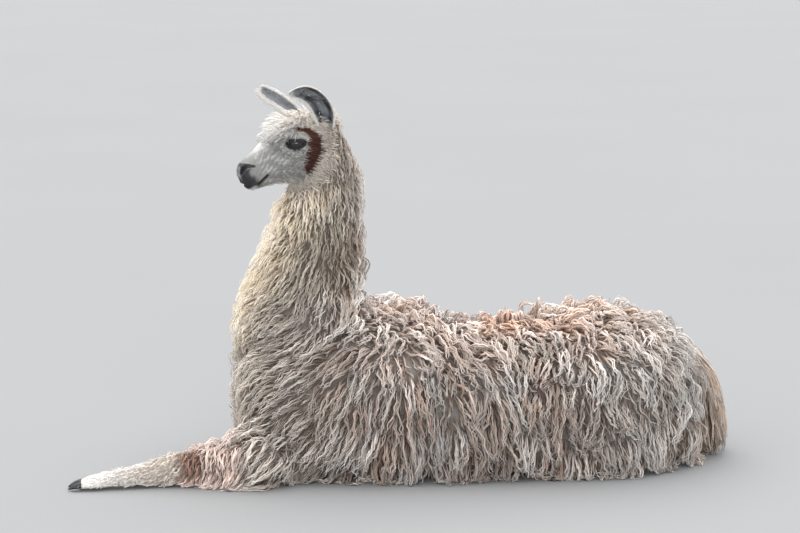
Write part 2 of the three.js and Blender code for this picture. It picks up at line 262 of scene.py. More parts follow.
def place(
    mesh: bpy.types.Mesh,
    name: str,
    slot: str,
    finish: bpy.types.Material,
    stands_for: tuple[str, ...] = (),
) -> None:
    """Puts a mesh into the scene as a piece that rides on the body.

    Args:
        mesh: The finished mesh, in world metres.
        name: The piece's name.
        slot: The material slot that it belongs to; not used.
        finish: The material that it wears.
        stands_for: Solids that it replaces.
    """
    mesh.materials.append(finish)
    piece = into_scene(name, mesh)
    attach(piece, BODY)
    if stands_for:
        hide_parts(*stands_for)
    LOG.info("%s: %d faces", name, len(mesh.polygons))


def read_points(mesh: bpy.types.Mesh, what: str = "co") -> Array:
    """The places, or another threefold value, of a mesh's points."""
    flat = np.empty(len(mesh.vertices) * 3, np.float32)
    mesh.vertices.foreach_get(what, flat)
    return flat.reshape(-1, 3).astype(float)


def write_points(mesh: bpy.types.Mesh, name: str, kind: str, values: Array) -> None:
    """Stores one value per point in a mesh."""
    layer = mesh.attributes.new(name, kind, "POINT")
    key = {"FLOAT_COLOR": "color", "FLOAT_VECTOR": "vector"}.get(kind, "value")
    layer.data.foreach_set(key, values.astype(np.float32).ravel())


def write_tint(mesh: bpy.types.Mesh, colours: Array) -> None:
    """Stores the coat colour of each point."""
    write_points(mesh, "tint", "FLOAT_COLOR", np.column_stack([colours, np.ones(len(colours))]))


# The least half size of a body once the depth of its coat is taken off, in millimetres.
LEAST_FLESH = 4.0


@dataclass
class Loft:
    """A closed body round a smooth line.

    Each section is x, y, z, half width, size above and size below, in millimetres, where "above" is
    the side of tangent x across.
    """

    sections: tuple[tuple[float, ...], ...]
    domes: tuple[float, float]
    square: float = 2.0
    across: Place = (0.0, 1.0, 0.0)
    coat: tuple[float, float] = (0.0, 0.0)
    on_head: bool = False

    def surface(self, sides: int = 48, rings: int = 64) -> Surface:
        """The body's surface, drawn in by the depth of its coat.

        Args:
            sides: Points round the body.
            rings: Rings along it.

        Returns:
            A closed surface in world metres.
        """
        table = np.array(self.sections, float)
        along = np.linspace(0, 1, rings)
        values, rates = spline(table, along)
        tangent = unit(rates[:, :3])
        up = unit(np.cross(tangent, np.array(self.across)))
        side = np.cross(up, tangent)
        depth = self.coat[0] + (self.coat[1] - self.coat[0]) * along
        sizes = np.maximum(values[:, 3:] - depth[:, None], LEAST_FLESH)
        start_dome = max(self.domes[0] - depth[0], LEAST_FLESH)
        end_dome = max(self.domes[1] - depth[-1], LEAST_FLESH)
        turn = np.linspace(0, math.pi / 2, 6)[1:-1]
        rows = [(0, -start_dome * math.sin(step), math.cos(step)) for step in turn[::-1]]
        rows.extend((k, 0.0, 1.0) for k in range(rings))
        rows.extend((rings - 1, end_dome * math.sin(step), math.cos(step)) for step in turn)
        angle = np.linspace(0, 2 * math.pi, sides, endpoint=False)
        cosine = np.sign(np.cos(angle)) * np.abs(np.cos(angle)) ** (2 / self.square)
        sine = np.sign(np.sin(angle)) * np.abs(np.sin(angle)) ** (2 / self.square)
        points = []
        for index, shift, scale in rows:
            above = np.where(np.sin(angle) > 0, sizes[index, 1], sizes[index, 2]) * scale
            centre = values[index, :3] + tangent[index] * shift
            ring = centre + np.outer(cosine * sizes[index, 0] * scale, side[index])
            points.append(ring + np.outer(sine * above, up[index]))
        first = values[0, :3] - tangent[0] * start_dome
        last = values[-1, :3] + tangent[-1] * end_dome
        flat = np.vstack([*points, first, last])
        flat = head_to_world(flat) if self.on_head else flat * MM
        return Surface(flat, tube_faces(len(rows), sides))


# ---- Markings: one set of colours for the skin and the coat ---------------------------------------
class Shade(Enum):
    """The colours of the animal."""

    FLEECE = "ddd1c3"
    SAND = "b8ab93"
    GREY = "bfb5ad"
    CREAM = "fdeccf"
    APRICOT = "efc6ab"
    BLUSH = "f6ddd0"
    BROWN = "b08c78"
    WHITE = "f1eee9"
    # Partly the face's own grey and partly painted shade of the face's side, which gets less light.
    FACE = "878682"
    RUST = "431d0f"
    CHESTNUT = "8a5b3e"
    AUBURN = "7c3a1b"
    TAN = "c8b09a"
    SLATE = "2b2b2f"
    EAR = "7d8083"
    LIP = "17151a"


def painted(shade: Shade, count: int) -> Array:
    """One shade as linear light, for a number of places."""
    return np.tile(linear(shade.value), (count, 1))


def layered(colours: Array, *layers: tuple[Shade, Array]) -> Array:
    """Colours with shades laid over them, one after the other.

    Args:
        colours: Linear colours to start from, one row for each place.
        layers: Shades, each with its amount from 0 to 1 at every place.

    Returns:
        The colours after the last layer.
    """
    for shade, amount in layers:
        share = np.clip(amount, 0, 1)[:, None]
        colours = colours * (1 - share) + linear(shade.value) * share
    return colours


def on_neck(points: Array) -> Array:
    """Whether places are above the sloping line where the neck leaves the trunk."""
    return (points[:, 2] - 0.262) > (points[:, 0] + 0.480) * (0.208 / 0.45)


def neck_front(points: Array) -> Array:
    """How far places of the neck lie towards its throat side, in metres."""
    return -points[:, 0] - 0.22 - 0.55 * np.clip(0.72 - points[:, 2], 0, 0.4)


@dataclass(frozen=True)
class Markings:
    """Where each colour of the animal lies."""

    patch_line: tuple[Place, ...] = (
        (46, 52, 3),
        (34, 43, 5),
        (24, 31, 8),
        (21, 16, 12),
        (25, -1, 18),
        (35, -15, 18),
        (46, -30, 15),
        (57, -47, 12),
        (65, -59, 7),
    )

    def colours(self, points: Array) -> Array:
        """The colour of the coat or skin at some places.

        Args:
            points: World points in metres.

        Returns:
            Linear colours, one row for each point.
        """
        local = world_to_head(points)
        ahead = before_cheek(points)
        head = smooth(-18, 10, ahead + 8 * wander(points, 0.012, 9))
        body = layered(self.body(points), (Shade.WHITE, 0.32 * smooth(-80, -8, ahead)))
        return body * (1 - head[:, None]) + self.head(local) * head[:, None]

    def body(self, points: Array) -> Array:
        """Colours of everything behind the head."""
        x, y, z = points.T
        slow, fine = wander(points, 0.09, 5), wander(points, 0.035, 6)
        trunk = smooth(-0.30, -0.10, x)
        saddle = smooth(0.28, 0.37, z + 0.03 * slow) * smooth(-0.16, -0.04, x) * smooth(0.74, 0.60, x)
        saddle = saddle * smooth(0.56, 0.47, z)
        neck = smooth(0.22, 0.38, z) * smooth(-0.10, -0.2, x)
        rump = smooth(0.36, 0.56, x) * smooth(0.44, 0.34, z)
        hem = smooth(0.16, 0.03, z) * smooth(-0.30, -0.05, x)
        tail = smooth(0.735, 0.775, x) * smooth(0.13, 0.08, np.abs(y))
        leg = smooth(-0.36, -0.46, x) * smooth(0.19, 0.13, z)
        shin = smooth(-0.565, -0.60, x)
        knee = bump(points, (-0.560, -0.205, 0.100), 0.024) + bump(points, (-0.556, -0.225, 0.062), 0.022)
        return layered(
            painted(Shade.FLEECE, len(points)),
            (Shade.GREY, 0.12 + 0.35 * slow),
            (Shade.BROWN, trunk * (0.30 + 0.50 * smooth(0.0, 0.6, fine))),
            (Shade.WHITE, trunk * smooth(0.10, 0.55, wander(points, 0.06, 12)) * 0.62),
            (Shade.WHITE, saddle * (0.4 + 0.35 * smooth(0.20, 0.0, x))),
            (Shade.APRICOT, saddle * (0.66 + 0.35 * slow) * (0.55 + 0.45 * smooth(0.02, 0.30, x))),
            # The neck's sandy tone, partly painted shade that stands for the deep gaps between its locks.
            (Shade.SAND, neck * smooth(0.40, 0.58, z) * 0.7),
            (Shade.CREAM, neck * smooth(-0.065, 0.03, neck_front(points))),
            (Shade.WHITE, rump * (0.50 + 0.30 * fine)),
            (Shade.BROWN, hem * 0.25 * (1 + slow)),
            (Shade.TAN, tail * 0.9),
            (Shade.BLUSH, leg * 0.9),
            (Shade.FLEECE, shin * leg),
            (Shade.WHITE, shin * leg * smooth(-0.62, -0.74, x + 0.03 * fine) * 0.75),
            (Shade.CHESTNUT, smooth(0.25, 0.8, knee + 0.2 * fine) * 0.85),
            (Shade.LIP, smooth(-0.836, -0.850, x) * leg * 0.9),
            (Shade.WHITE, bump(points, (0.672, -0.07, 0.385), 0.035)),
        )

    def head(self, local: Array) -> Array:
        """Colours of the face, ears and topknot, from places in the head frame."""
        u, _, v = local.T
        mirrored = folded(local)
        metres = local * MM
        fine = wander(metres, 0.012, 8)
        mottle = smooth(-0.2, 0.9, wander(metres, 0.009, 13)) * smooth(196, 150, u)
        rear = smooth(62, 18, u + 0.55 * np.clip(v + 30, -80, 0) + 6 * fine)
        rear = np.maximum(rear, smooth(-52, -80, v + 5 * fine) * smooth(160, 112, u))
        snout = smooth(165, 205, u) * smooth(36, 14, v)
        gap = mouth_gap(local)
        above = smooth(-4, 0, gap)
        upper_lip = smooth(-7, 9, u + 3 * fine - (188 + 0.35 * np.clip(gap, 0, 40)))
        upper_lip = upper_lip * smooth(19, 8, v + 2 * fine) * above
        thick = np.interp(u, [160, 185, 205, 225], [3.4, 5.2, 6.6, 8.2])
        lips = np.exp(-(((gap + 1.2) / thick) ** 4)) * smooth(154, 164, u)
        # Painted highlight: a pale edge along the very front of the upper lip, on both sides.
        front_highlight = bump(mirrored, (230, 7, -2), 5) + 0.8 * bump(mirrored, (230, 9, 10), 6)
        wing = v - np.interp(u, [180, 195, 206, 220], [7, 14, 18, 19])
        wing = smooth(1.25, 0.8, np.abs(wing / np.interp(u, [180, 195, 208], [2.4, 4.6, 7.0])))
        out = layered(
            painted(Shade.FACE, len(local)),
            (Shade.WHITE, mottle * 0.30),
            (Shade.WHITE, smooth(30, 48, v) * smooth(110, 150, u) * 0.5),
            (Shade.WHITE, smooth(40, 62, v + 5 * fine) * 0.97),
            (Shade.CREAM, smooth(56, 90, v - 4 * fine) * 0.30),
            (Shade.WHITE, smooth(-46, -66, v) * smooth(90, 140, u) * 0.5),
            (Shade.FLEECE, rear * 0.6),
            (Shade.SLATE, snout * 0.15),
            (Shade.SLATE, upper_lip * 0.96),
            (Shade.LIP, smooth(204, 222, u) * smooth(14, 2, v) * above * 0.6),
            (Shade.LIP, lips * 0.97),
            (Shade.WHITE, smooth(-38, -45, v) * smooth(190, 206, u) * 0.6),
            (Shade.WHITE, front_highlight * 0.5),
            # Painted shade: the nostril opening is coloured near black.
            (Shade.LIP, smooth(1.55, 1.1, nostril_gap(mirrored))),
            (Shade.LIP, wing * smooth(181, 187, u) * smooth(221, 214, u) * 0.92),
        )
        return self.patch(self.eye_ring(out, local), local, fine)

    def eye_ring(self, out: Array, local: Array) -> Array:
        """Dark skin on the lids, a little longer at both corners."""
        for side in (1, -1):
            across, over, depth = about_eye(local, side)
            facing = smooth(2, 8, depth)
            below = np.where(over < 0, 13.5, 12.8) + 1.5 * smooth(0, 20, across)
            dark = np.hypot(across / 28.5, (over + 0.06 * across) / below)
            lids = (Shade.LIP, smooth(1.06, 0.92, dark) * facing)
            out = layered(out, lids, (Shade.SLATE, smooth(1.30, 1.0, dark) * facing * 0.35))
        return out

    def patch(self, out: Array, local: Array, fine: Array) -> Array:
        """The red-brown crescent behind the left eye."""
        u, w, v = local.T
        nearest = np.full(len(local), 99.0)
        table, _ = spline(np.array(self.patch_line), np.linspace(0, 1, 30))
        for pu, pv, radius in table:
            nearest = np.minimum(nearest, np.hypot(u - pu, v - pv) - radius)
        cover = smooth(4.0, -2.0, nearest + 3.0 * fine) * smooth(18, 34, w)
        bright = cover * smooth(10, 46, v) * smooth(0.2, 0.6, fine + 0.3)
        return layered(out, (Shade.RUST, cover), (Shade.AUBURN, bright * 0.8))

    @staticmethod
    def ear(outside: Array, across: Array, along: Array, dark: float) -> Array:
        """Colours of an ear: pale outside and along the edge, dark grey inside.

        Args:
            outside: 1 on the outer face and 0 on the inner one.
            across: Place across the ear, -1 and 1 at its edges.
            along: Place from base to tip.
            dark: How dark the streaks inside are, from 0 to 1.

        Returns:
            Linear colours, one row for each place.
        """
        rib = np.sin(31 * along + 5 * across + 2.5 * np.sin(7 * along))
        streak = np.exp(-(((np.abs(across) - 0.45) / 0.2) ** 2)) + 0.6 * smooth(-0.2, 0.9, rib)
        return layered(
            painted(Shade.EAR, len(outside)),
            (Shade.SLATE, streak * smooth(0.97, 0.6, along) * dark),
            (Shade.WHITE, smooth(0.74, 0.92, np.abs(across))),
            (Shade.WHITE, smooth(0.86, 0.97, along) * 0.8),
            (Shade.FLEECE, outside * (0.45 + 0.3 * smooth(0.1, 0.9, along))),
        )


# ---- The bare body under the coat ---------------------------------------------------------------
LEG_ACROSS = (0.0, -1.0, 0.0)
TRUNK = Loft(
    sections=(
        (-406, 0, 150, 196, 190, 290),
        (-340, 0, 150, 240, 240, 290),
        (-200, 0, 150, 268, 280, 290),
        (-48, 0, 150, 276, 290, 290),
        (72, 0, 150, 280, 274, 290),
        (172, 0, 150, 280, 238, 290),
        (292, 0, 150, 280, 241, 290),
        (412, 0, 150, 276, 268, 290),
        (535, 0, 150, 264, 280, 290),
        (635, 0, 150, 244, 262, 290),
        (704, 0, 150, 208, 220, 290),
        (762, 0, 150, 160, 164, 290),
    ),
    domes=(38, 44),
    square=2.25,
    coat=(46, 46),
)
NECK = Loft(
    sections=(
        (-290, 0, 215, 205, 160, 158),
        (-286, 0, 320, 196, 175, 164),
        (-272, 0, 400, 176, 172, 170),
        (-262, 0, 470, 150, 167, 154),
        (-242, 0, 550, 124, 155, 138),
        (-224, 0, 620, 108, 140, 122),
        (-213, 0, 690, 98, 121, 116),
        (-206, -2, 760, 92, 110, 110),
        (-200, -4, 820, 84, 86, 106),
        (-204, -6, 880, 70, 57, 90),
    ),
    domes=(40, 42),
    across=LEG_ACROSS,
    coat=(44, 20),
)
SKULL = Loft(
    sections=(
        (-46, 0, 12, 60, 52, 66),
        (0, 0, 10, 66, 62, 84),
        (40, 0, 8, 69, 68, 92),
        (66, 0, 6, 66, 68, 94),
        (100, 0, 0, 55, 67, 86),
        (130, 0, -4, 43, 62, 72),
        (160, 0, -8, 37, 54, 58),
        (190, 0, -11, 34, 49, 48),
        (210, 0, -12, 30, 40, 39),
    ),
    domes=(30, 20),
    square=2.15,
    coat=(10, 3),
    on_head=True,
)
LEFT_FORELEG = Loft(
    sections=(
        (-340, -196, 74, 66, 70, 100),
        (-410, -198, 66, 64, 66, 92),
        (-495, -196, 58, 58, 63, 84),
        (-560, -192, 54, 46, 46, 74),
        (-618, -192, 44, 36, 40, 56),
        (-668, -194, 34, 33, 33, 46),
        (-722, -200, 29, 30, 26, 36),
        (-766, -206, 26, 27, 20, 32),
    ),
    domes=(20, 10),
    across=LEG_ACROSS,
    coat=(26, 5),
)
TAIL_CORE = Loft(
    sections=(
        (668, 0, 350, 40, 34, 34),
        (722, 0, 312, 58, 42, 40),
        (780, 0, 248, 74, 44, 40),
        (818, 0, 172, 74, 44, 40),
        (832, 0, 92, 66, 44, 40),
        (834, 0, 40, 56, 40, 38),
    ),
    domes=(24, 24),
    coat=(22, 26),
)
# The line between the lips: distance back from the front of the mouth, and height.
MOUTH_LINE = ((-1.0, -24.0), (10.0, -34.0), (26.0, -40.0), (44.0, -33.0), (64.0, -26.0))
# The left nostril from front to back: place and half width.
NOSTRIL_LINE = (
    (225.0, 16.0, 4.0, 4.6),
    (219.0, 20.0, 13.0, 6.6),
    (208.0, 26.5, 18.0, 6.0),
    (195.0, 32.0, 15.5, 4.4),
    (184.0, 34.5, 10.0, 2.6),
)
LID_HALF = 18.4
UPPER_LID = 7.4
LOWER_LID = 7.6


def nostril_gap(mirrored: Array) -> Array:
    """How far places of the head are from the nostril, as a share of its half width there.

    Args:
        mirrored: Places in the head frame, folded onto its left side.

    Returns:
        Below 1 inside the nostril and above 1 outside it.
    """
    line, _ = spline(np.array(NOSTRIL_LINE), np.linspace(0, 1, 24))
    gap = np.linalg.norm(mirrored[:, None, :] - line[None, :, :3], axis=2)
    return np.min(gap / line[None, :, 3], axis=1)


def mouth_gap(local: Array, steps: int = 40) -> Array:
    """How far places of the head lie above the line between the lips, in millimetres."""
    line, _ = spline(np.array(MOUTH_LINE), np.linspace(0, 1, steps))
    return local[:, 2] - np.interp(MOUTH_FRONT - local[:, 0], line[:, 0], line[:, 1])


def hind_leg(side: int) -> list[Loft]:
    """The thigh and shank of one folded hind leg, under their coat."""
    thigh = Loft(
        sections=(
            (330, side * 176, 168, 88, 92, 96),
            (430, side * 172, 190, 96, 116, 110),
            (540, side * 158, 204, 96, 120, 116),
            (630, side * 128, 218, 84, 108, 96),
        ),
        domes=(34, 34),
        coat=(40, 40),
    )
    shank = Loft(
        sections=(
            (470, side * 196, 84, 70, 66, 120),
            (560, side * 182, 84, 70, 70, 120),
            (640, side * 158, 80, 66, 72, 116),
            (706, side * 126, 74, 54, 62, 104),
        ),
        domes=(30, 34),
        coat=(36, 36),
    )
    return [thigh, shank]


def eye_frame(side: int) -> tuple[Array, Array, Array, Array]:
    """The middle of an eyeball and its outward, forward and upward directions, in the head frame."""
    middle = EYE_AT * np.array([1, side, 1])
    outward = unit(np.array([0.30, side * 0.95, 0.06]))
    forward = np.array([0.93, 0.0, 0.36])
    forward = unit(forward - outward * (forward @ outward))
    upward = np.cross(outward, forward) * (-side)
    upward = upward if upward[2] > 0 else -upward
    return middle, outward, forward, upward


def about_eye(local: Array, side: int) -> tuple[Array, Array, Array]:
    """How far places of the head lie forward of an eye's middle, above it and outside it."""
    middle, outward, forward, upward = eye_frame(side)
    offset = local - middle
    return offset @ forward, offset @ upward, offset @ outward


def round_eye(side: int, angle: Array, reach: Array, radius: float) -> Array:
    """Places on a ball about an eye's middle.

    Args:
        side: 1 for the left eye, -1 for the right.
        angle: Direction of each place round the gaze.
        reach: Distance of each place from the gaze.
        radius: The ball's radius.

    Returns:
        The places in the head frame.
    """
    middle, outward, forward, upward = eye_frame(side)
    height = np.sqrt(radius**2 - reach**2)
    flat = middle + np.outer(reach * np.cos(angle), forward) + np.outer(reach * np.sin(angle), upward)
    return flat + np.outer(height, outward)


def lid_edge(angle: Array) -> Array:
    """How far the open slit between the lids reaches, by direction round the eye.

    Args:
        angle: Direction in the plane of the slit, 0 towards the nose, a quarter turn up.

    Returns:
        The reach in millimetres.
    """
    height = np.where(np.sin(angle) > 0, UPPER_LID, LOWER_LID)
    cosine, sine = np.abs(np.cos(angle)), np.abs(np.sin(angle))
    return 1.0 / ((cosine / LID_HALF) ** 1.5 + (sine / height) ** 1.5) ** (1 / 1.5)


@dataclass
class Face:
    """The folds that turn the plain skull into a face; all of it in the head frame.

    Attributes:
        swell: Round swellings and hollows: centre, radius and height, the same on both sides.
        lid_thick: Thickness of the lids over the eyeball.
        least_lid: The least that the skin lies over the eyeball beside its slit.
        pocket: How far the skin lies behind the eyeball's surface within the slit.
    """

    swell: tuple[tuple[float, float, float, float, float], ...] = (
        (62, 58, 38, 13, 3.6),
        (84, 50, 36, 12, 2.4),
        (96, 50, 4, 13, -3.2),
        (58, 64, -12, 16, 2.2),
        (28, 62, -44, 24, 4.5),
        (132, 42, 4, 18, -3.0),
        (150, 30, -44, 20, -1.5),
        (204, 30, 24, 8, 3.4),
        (216, 18, -8, 12, 3.2),
        (200, 26, -18, 12, 2.2),
        (208, 0, -54, 12, 3.0),
        (176, 24, 30, 14, -1.6),
        (110, 0, 70, 26, 1.5),
    )
    lid_thick: float = 2.4
    least_lid: float = 1.0
    pocket: float = 1.8

    def shape(self, points: Array, normals: Array) -> Array:
        """Moves points of the head so that they show its folds.

        Args:
            points: Points in the head frame, in millimetres.
            normals: Their outward directions.

        Returns:
            The moved points.
        """
        mirrored = folded(points)
        out = np.zeros(len(points))
        for *centre, radius, height in self.swell:
            out += height * bump(mirrored, centre, radius)
        out += self.mouth(mirrored)
        out += self.nostril(mirrored)
        out += self.lip_split(mirrored)
        moved = points + normals * out[:, None]
        for side in (1, -1):
            moved = self.lids(moved, side)
        return moved

    def mouth(self, mirrored: Array) -> Array:
        """A groove along the mouth, with the lips rounded on both sides of it."""
        gap = mouth_gap(mirrored, steps=60)
        reach = smooth(70, 60, MOUTH_FRONT - mirrored[:, 0]) * smooth(100, 150, mirrored[:, 0])
        groove = -4.2 * np.exp(-((gap / 1.7) ** 2))
        upper = 1.6 * np.exp(-(((gap - 5.5) / 4.0) ** 2))
        lower = 1.8 * np.exp(-(((gap + 5.5) / 3.6) ** 2))
        return (groove + upper + lower) * reach

    def nostril(self, mirrored: Array) -> Array:
        """A comma-shaped opening with a raised wing above it."""
        gap = nostril_gap(mirrored)
        hole = -11.0 * np.exp(-((gap / 0.85) ** 2.2))
        rim = 1.5 * np.exp(-(((gap - 1.75) / 0.5) ** 2))
        return hole + rim

    def lip_split(self, mirrored: Array) -> Array:
        """The groove that parts the upper lip and runs up between the nostrils."""
        u, w, v = mirrored.T
        front = smooth(214, 222, u) * smooth(-27, -22, v) * smooth(16, 8, v)
        return -2.4 * np.exp(-((w / 1.6) ** 2)) * front

    def lids(self, points: Array, side: int) -> Array:
        """Lays the skin round the eyeball as two lids with a fold above them."""
        middle, outward, _, _ = eye_frame(side)
        across, over, depth = about_eye(points, side)
        distance = np.linalg.norm(points - middle, axis=1)
        reach = np.hypot(across, over)
        past = reach - lid_edge(np.arctan2(over, across))
        near = (depth > 0) & (distance < EYE_RADIUS * 2.1)
        lid = np.sqrt(np.maximum((EYE_RADIUS + self.lid_thick) ** 2 - reach**2, 1.0))
        inside = np.sqrt(np.maximum((EYE_RADIUS - self.pocket) ** 2 - reach**2, 1.0))
        settled = np.where(past > 0, lid, inside)
        keep = np.where(past > 0, smooth(11.0, 2.0, past), 1.0)
        blended = depth + (settled - depth) * keep
        fold_gap = np.where(over > 0, past - 8.5, past - 7.5)
        blended -= 1.5 * np.exp(-((fold_gap / 1.5) ** 2)) * (past > 0)
        cover = np.sqrt(np.maximum((EYE_RADIUS + self.least_lid) ** 2 - reach**2, 0.0))
        blended = np.where(past > 0, np.maximum(blended, cover), blended)
        moved = points + outward * (blended - depth)[:, None]
        return np.where(near[:, None], moved, points)


def lid_rim(side: int) -> Surface:
    """The rolled dark edge that both lids share, as one closed ring on the eyeball."""
    count, sides = 72, 8
    angle = np.linspace(0, 2 * math.pi, count, endpoint=False)
    line = round_eye(side, angle, lid_edge(angle) + 0.5, EYE_RADIUS + 0.6)
    tangent = unit(np.roll(line, -1, axis=0) - np.roll(line, 1, axis=0))
    normal = unit(line - eye_frame(side)[0])
    over = np.cross(tangent, normal)
    radius = 1.5 + 0.5 * np.maximum(np.sin(angle), 0)
    turn = np.linspace(0, 2 * math.pi, sides, endpoint=False)
    ring = line[:, None] + radius[:, None, None] * (
        np.cos(turn)[None, :, None] * normal[:, None] + np.sin(turn)[None, :, None] * over[:, None]
    )
    faces = ring_faces(count, sides, closed=True)[:, [0, 3, 2, 1]]
    return Surface(head_to_world(ring.reshape(-1, 3)), [faces])


@dataclass
class Ear:
    """One ear: a thin cupped shell that follows a line and is open on one side.

    Attributes:
        line: Places from base to tip, in the head frame.
        opening: The direction that the cup faces.
        half: Half the ear's width.
        widths: Shares of that width from base to tip.
        wrap: How far the shell bends round its cup.
        thick: Thickness of the shell.
        fringes: Length of the hair along each edge.
        dark: How dark the streaks inside are, from 0 to 1.
    """

    line: tuple[Place, ...]
    opening: Place
    half: float = 19.0
    widths: tuple[float, ...] = (0.62, 0.95, 1.0, 0.82, 0.22)
    wrap: float = 1.15
    thick: float = 2.6
    fringes: tuple[float, float] = (9.0, 8.0)
    dark: float = 0.8

    def grid(self, rows: int = 34, columns: int = 25) -> tuple[Array, Array, Array, Array]:
        """The mid surface of the ear.

        Args:
            rows: Points from base to tip.
            columns: Points from one edge to the other.

        Returns:
            Points in the head frame, outward normals, and each point's place along and across.
        """
        along = np.linspace(0, 1, rows)
        values, rates = spline(np.array(self.line, float), along)
        widths, _ = spline(np.array(self.widths)[:, None], along)
        half = self.half * widths[:, 0] * np.clip((1.02 - along) / 0.08, 0.12, 1.0) ** 0.5
        tangent = unit(rates)
        open_way = np.array(self.opening, float)
        open_way = unit(open_way - tangent * (tangent @ open_way)[:, None])
        side = np.cross(tangent, open_way)
        across = np.linspace(-1, 1, columns)
        bend = self.wrap * (1.35 - 0.55 * along)
        turn = across[None] * bend[:, None]
        radius = half / np.sin(np.minimum(bend, math.pi / 2))
        out = np.sin(turn) * radius[:, None]
        back = (np.cos(turn) - 0.45) * radius[:, None]
        points = values[:, None] + side[:, None] * out[..., None] - open_way[:, None] * back[..., None]
        normals = unit(side[:, None] * np.sin(turn)[..., None] - open_way[:, None] * np.cos(turn)[..., None])
        return points, normals, *np.meshgrid(along, across, indexing="ij")

    def surface(self) -> Surface:
        """The ear as a closed shell in world metres."""
        points, normals, along, across = self.grid()
        rows, columns = points.shape[:2]
        thick = self.thick * (1.25 - 0.75 * along) * (1.0 - 0.55 * across**2)
        outer = points + normals * thick[..., None] / 2
        inner = points - normals * thick[..., None] / 2
        both = np.vstack([outer.reshape(-1, 3), inner.reshape(-1, 3)])
        shift = rows * columns
        index = np.arange(shift).reshape(rows, columns)
        low = index[:-1, :-1]
        face = np.stack([low, low + columns, low + columns + 1, low + 1], axis=-1).reshape(-1, 4)
        back = face[:, ::-1] + shift
        edge = np.concatenate([index[:, 0], index[-1, 1:], index[-2::-1, -1], index[0, -2:0:-1]])
        ahead = np.roll(edge, -1)
        band = np.stack([edge, edge + shift, ahead + shift, ahead], axis=-1)
        return Surface(head_to_world(both), [face, back, band])


LEFT_EAR = Ear(
    line=((-24, 50, 22), (-28, 62, 62), (-19, 71, 102), (6, 76, 135), (48, 76, 152)),
    opening=(0.50, 0.82, -0.24),
    half=27.0,
    widths=(0.60, 0.95, 1.0, 0.84, 0.25),
)
RIGHT_EAR = Ear(
    line=((-6, -46, 36), (12, -53, 78), (32, -59, 116), (50, -63, 144), (64, -66, 166)),
    opening=(-0.55, 0.72, 0.42),
    half=24.0,
    widths=(0.62, 0.92, 1.0, 0.9, 0.42),
    fringes=(25.0, 10.0),
    dark=0.25,
)


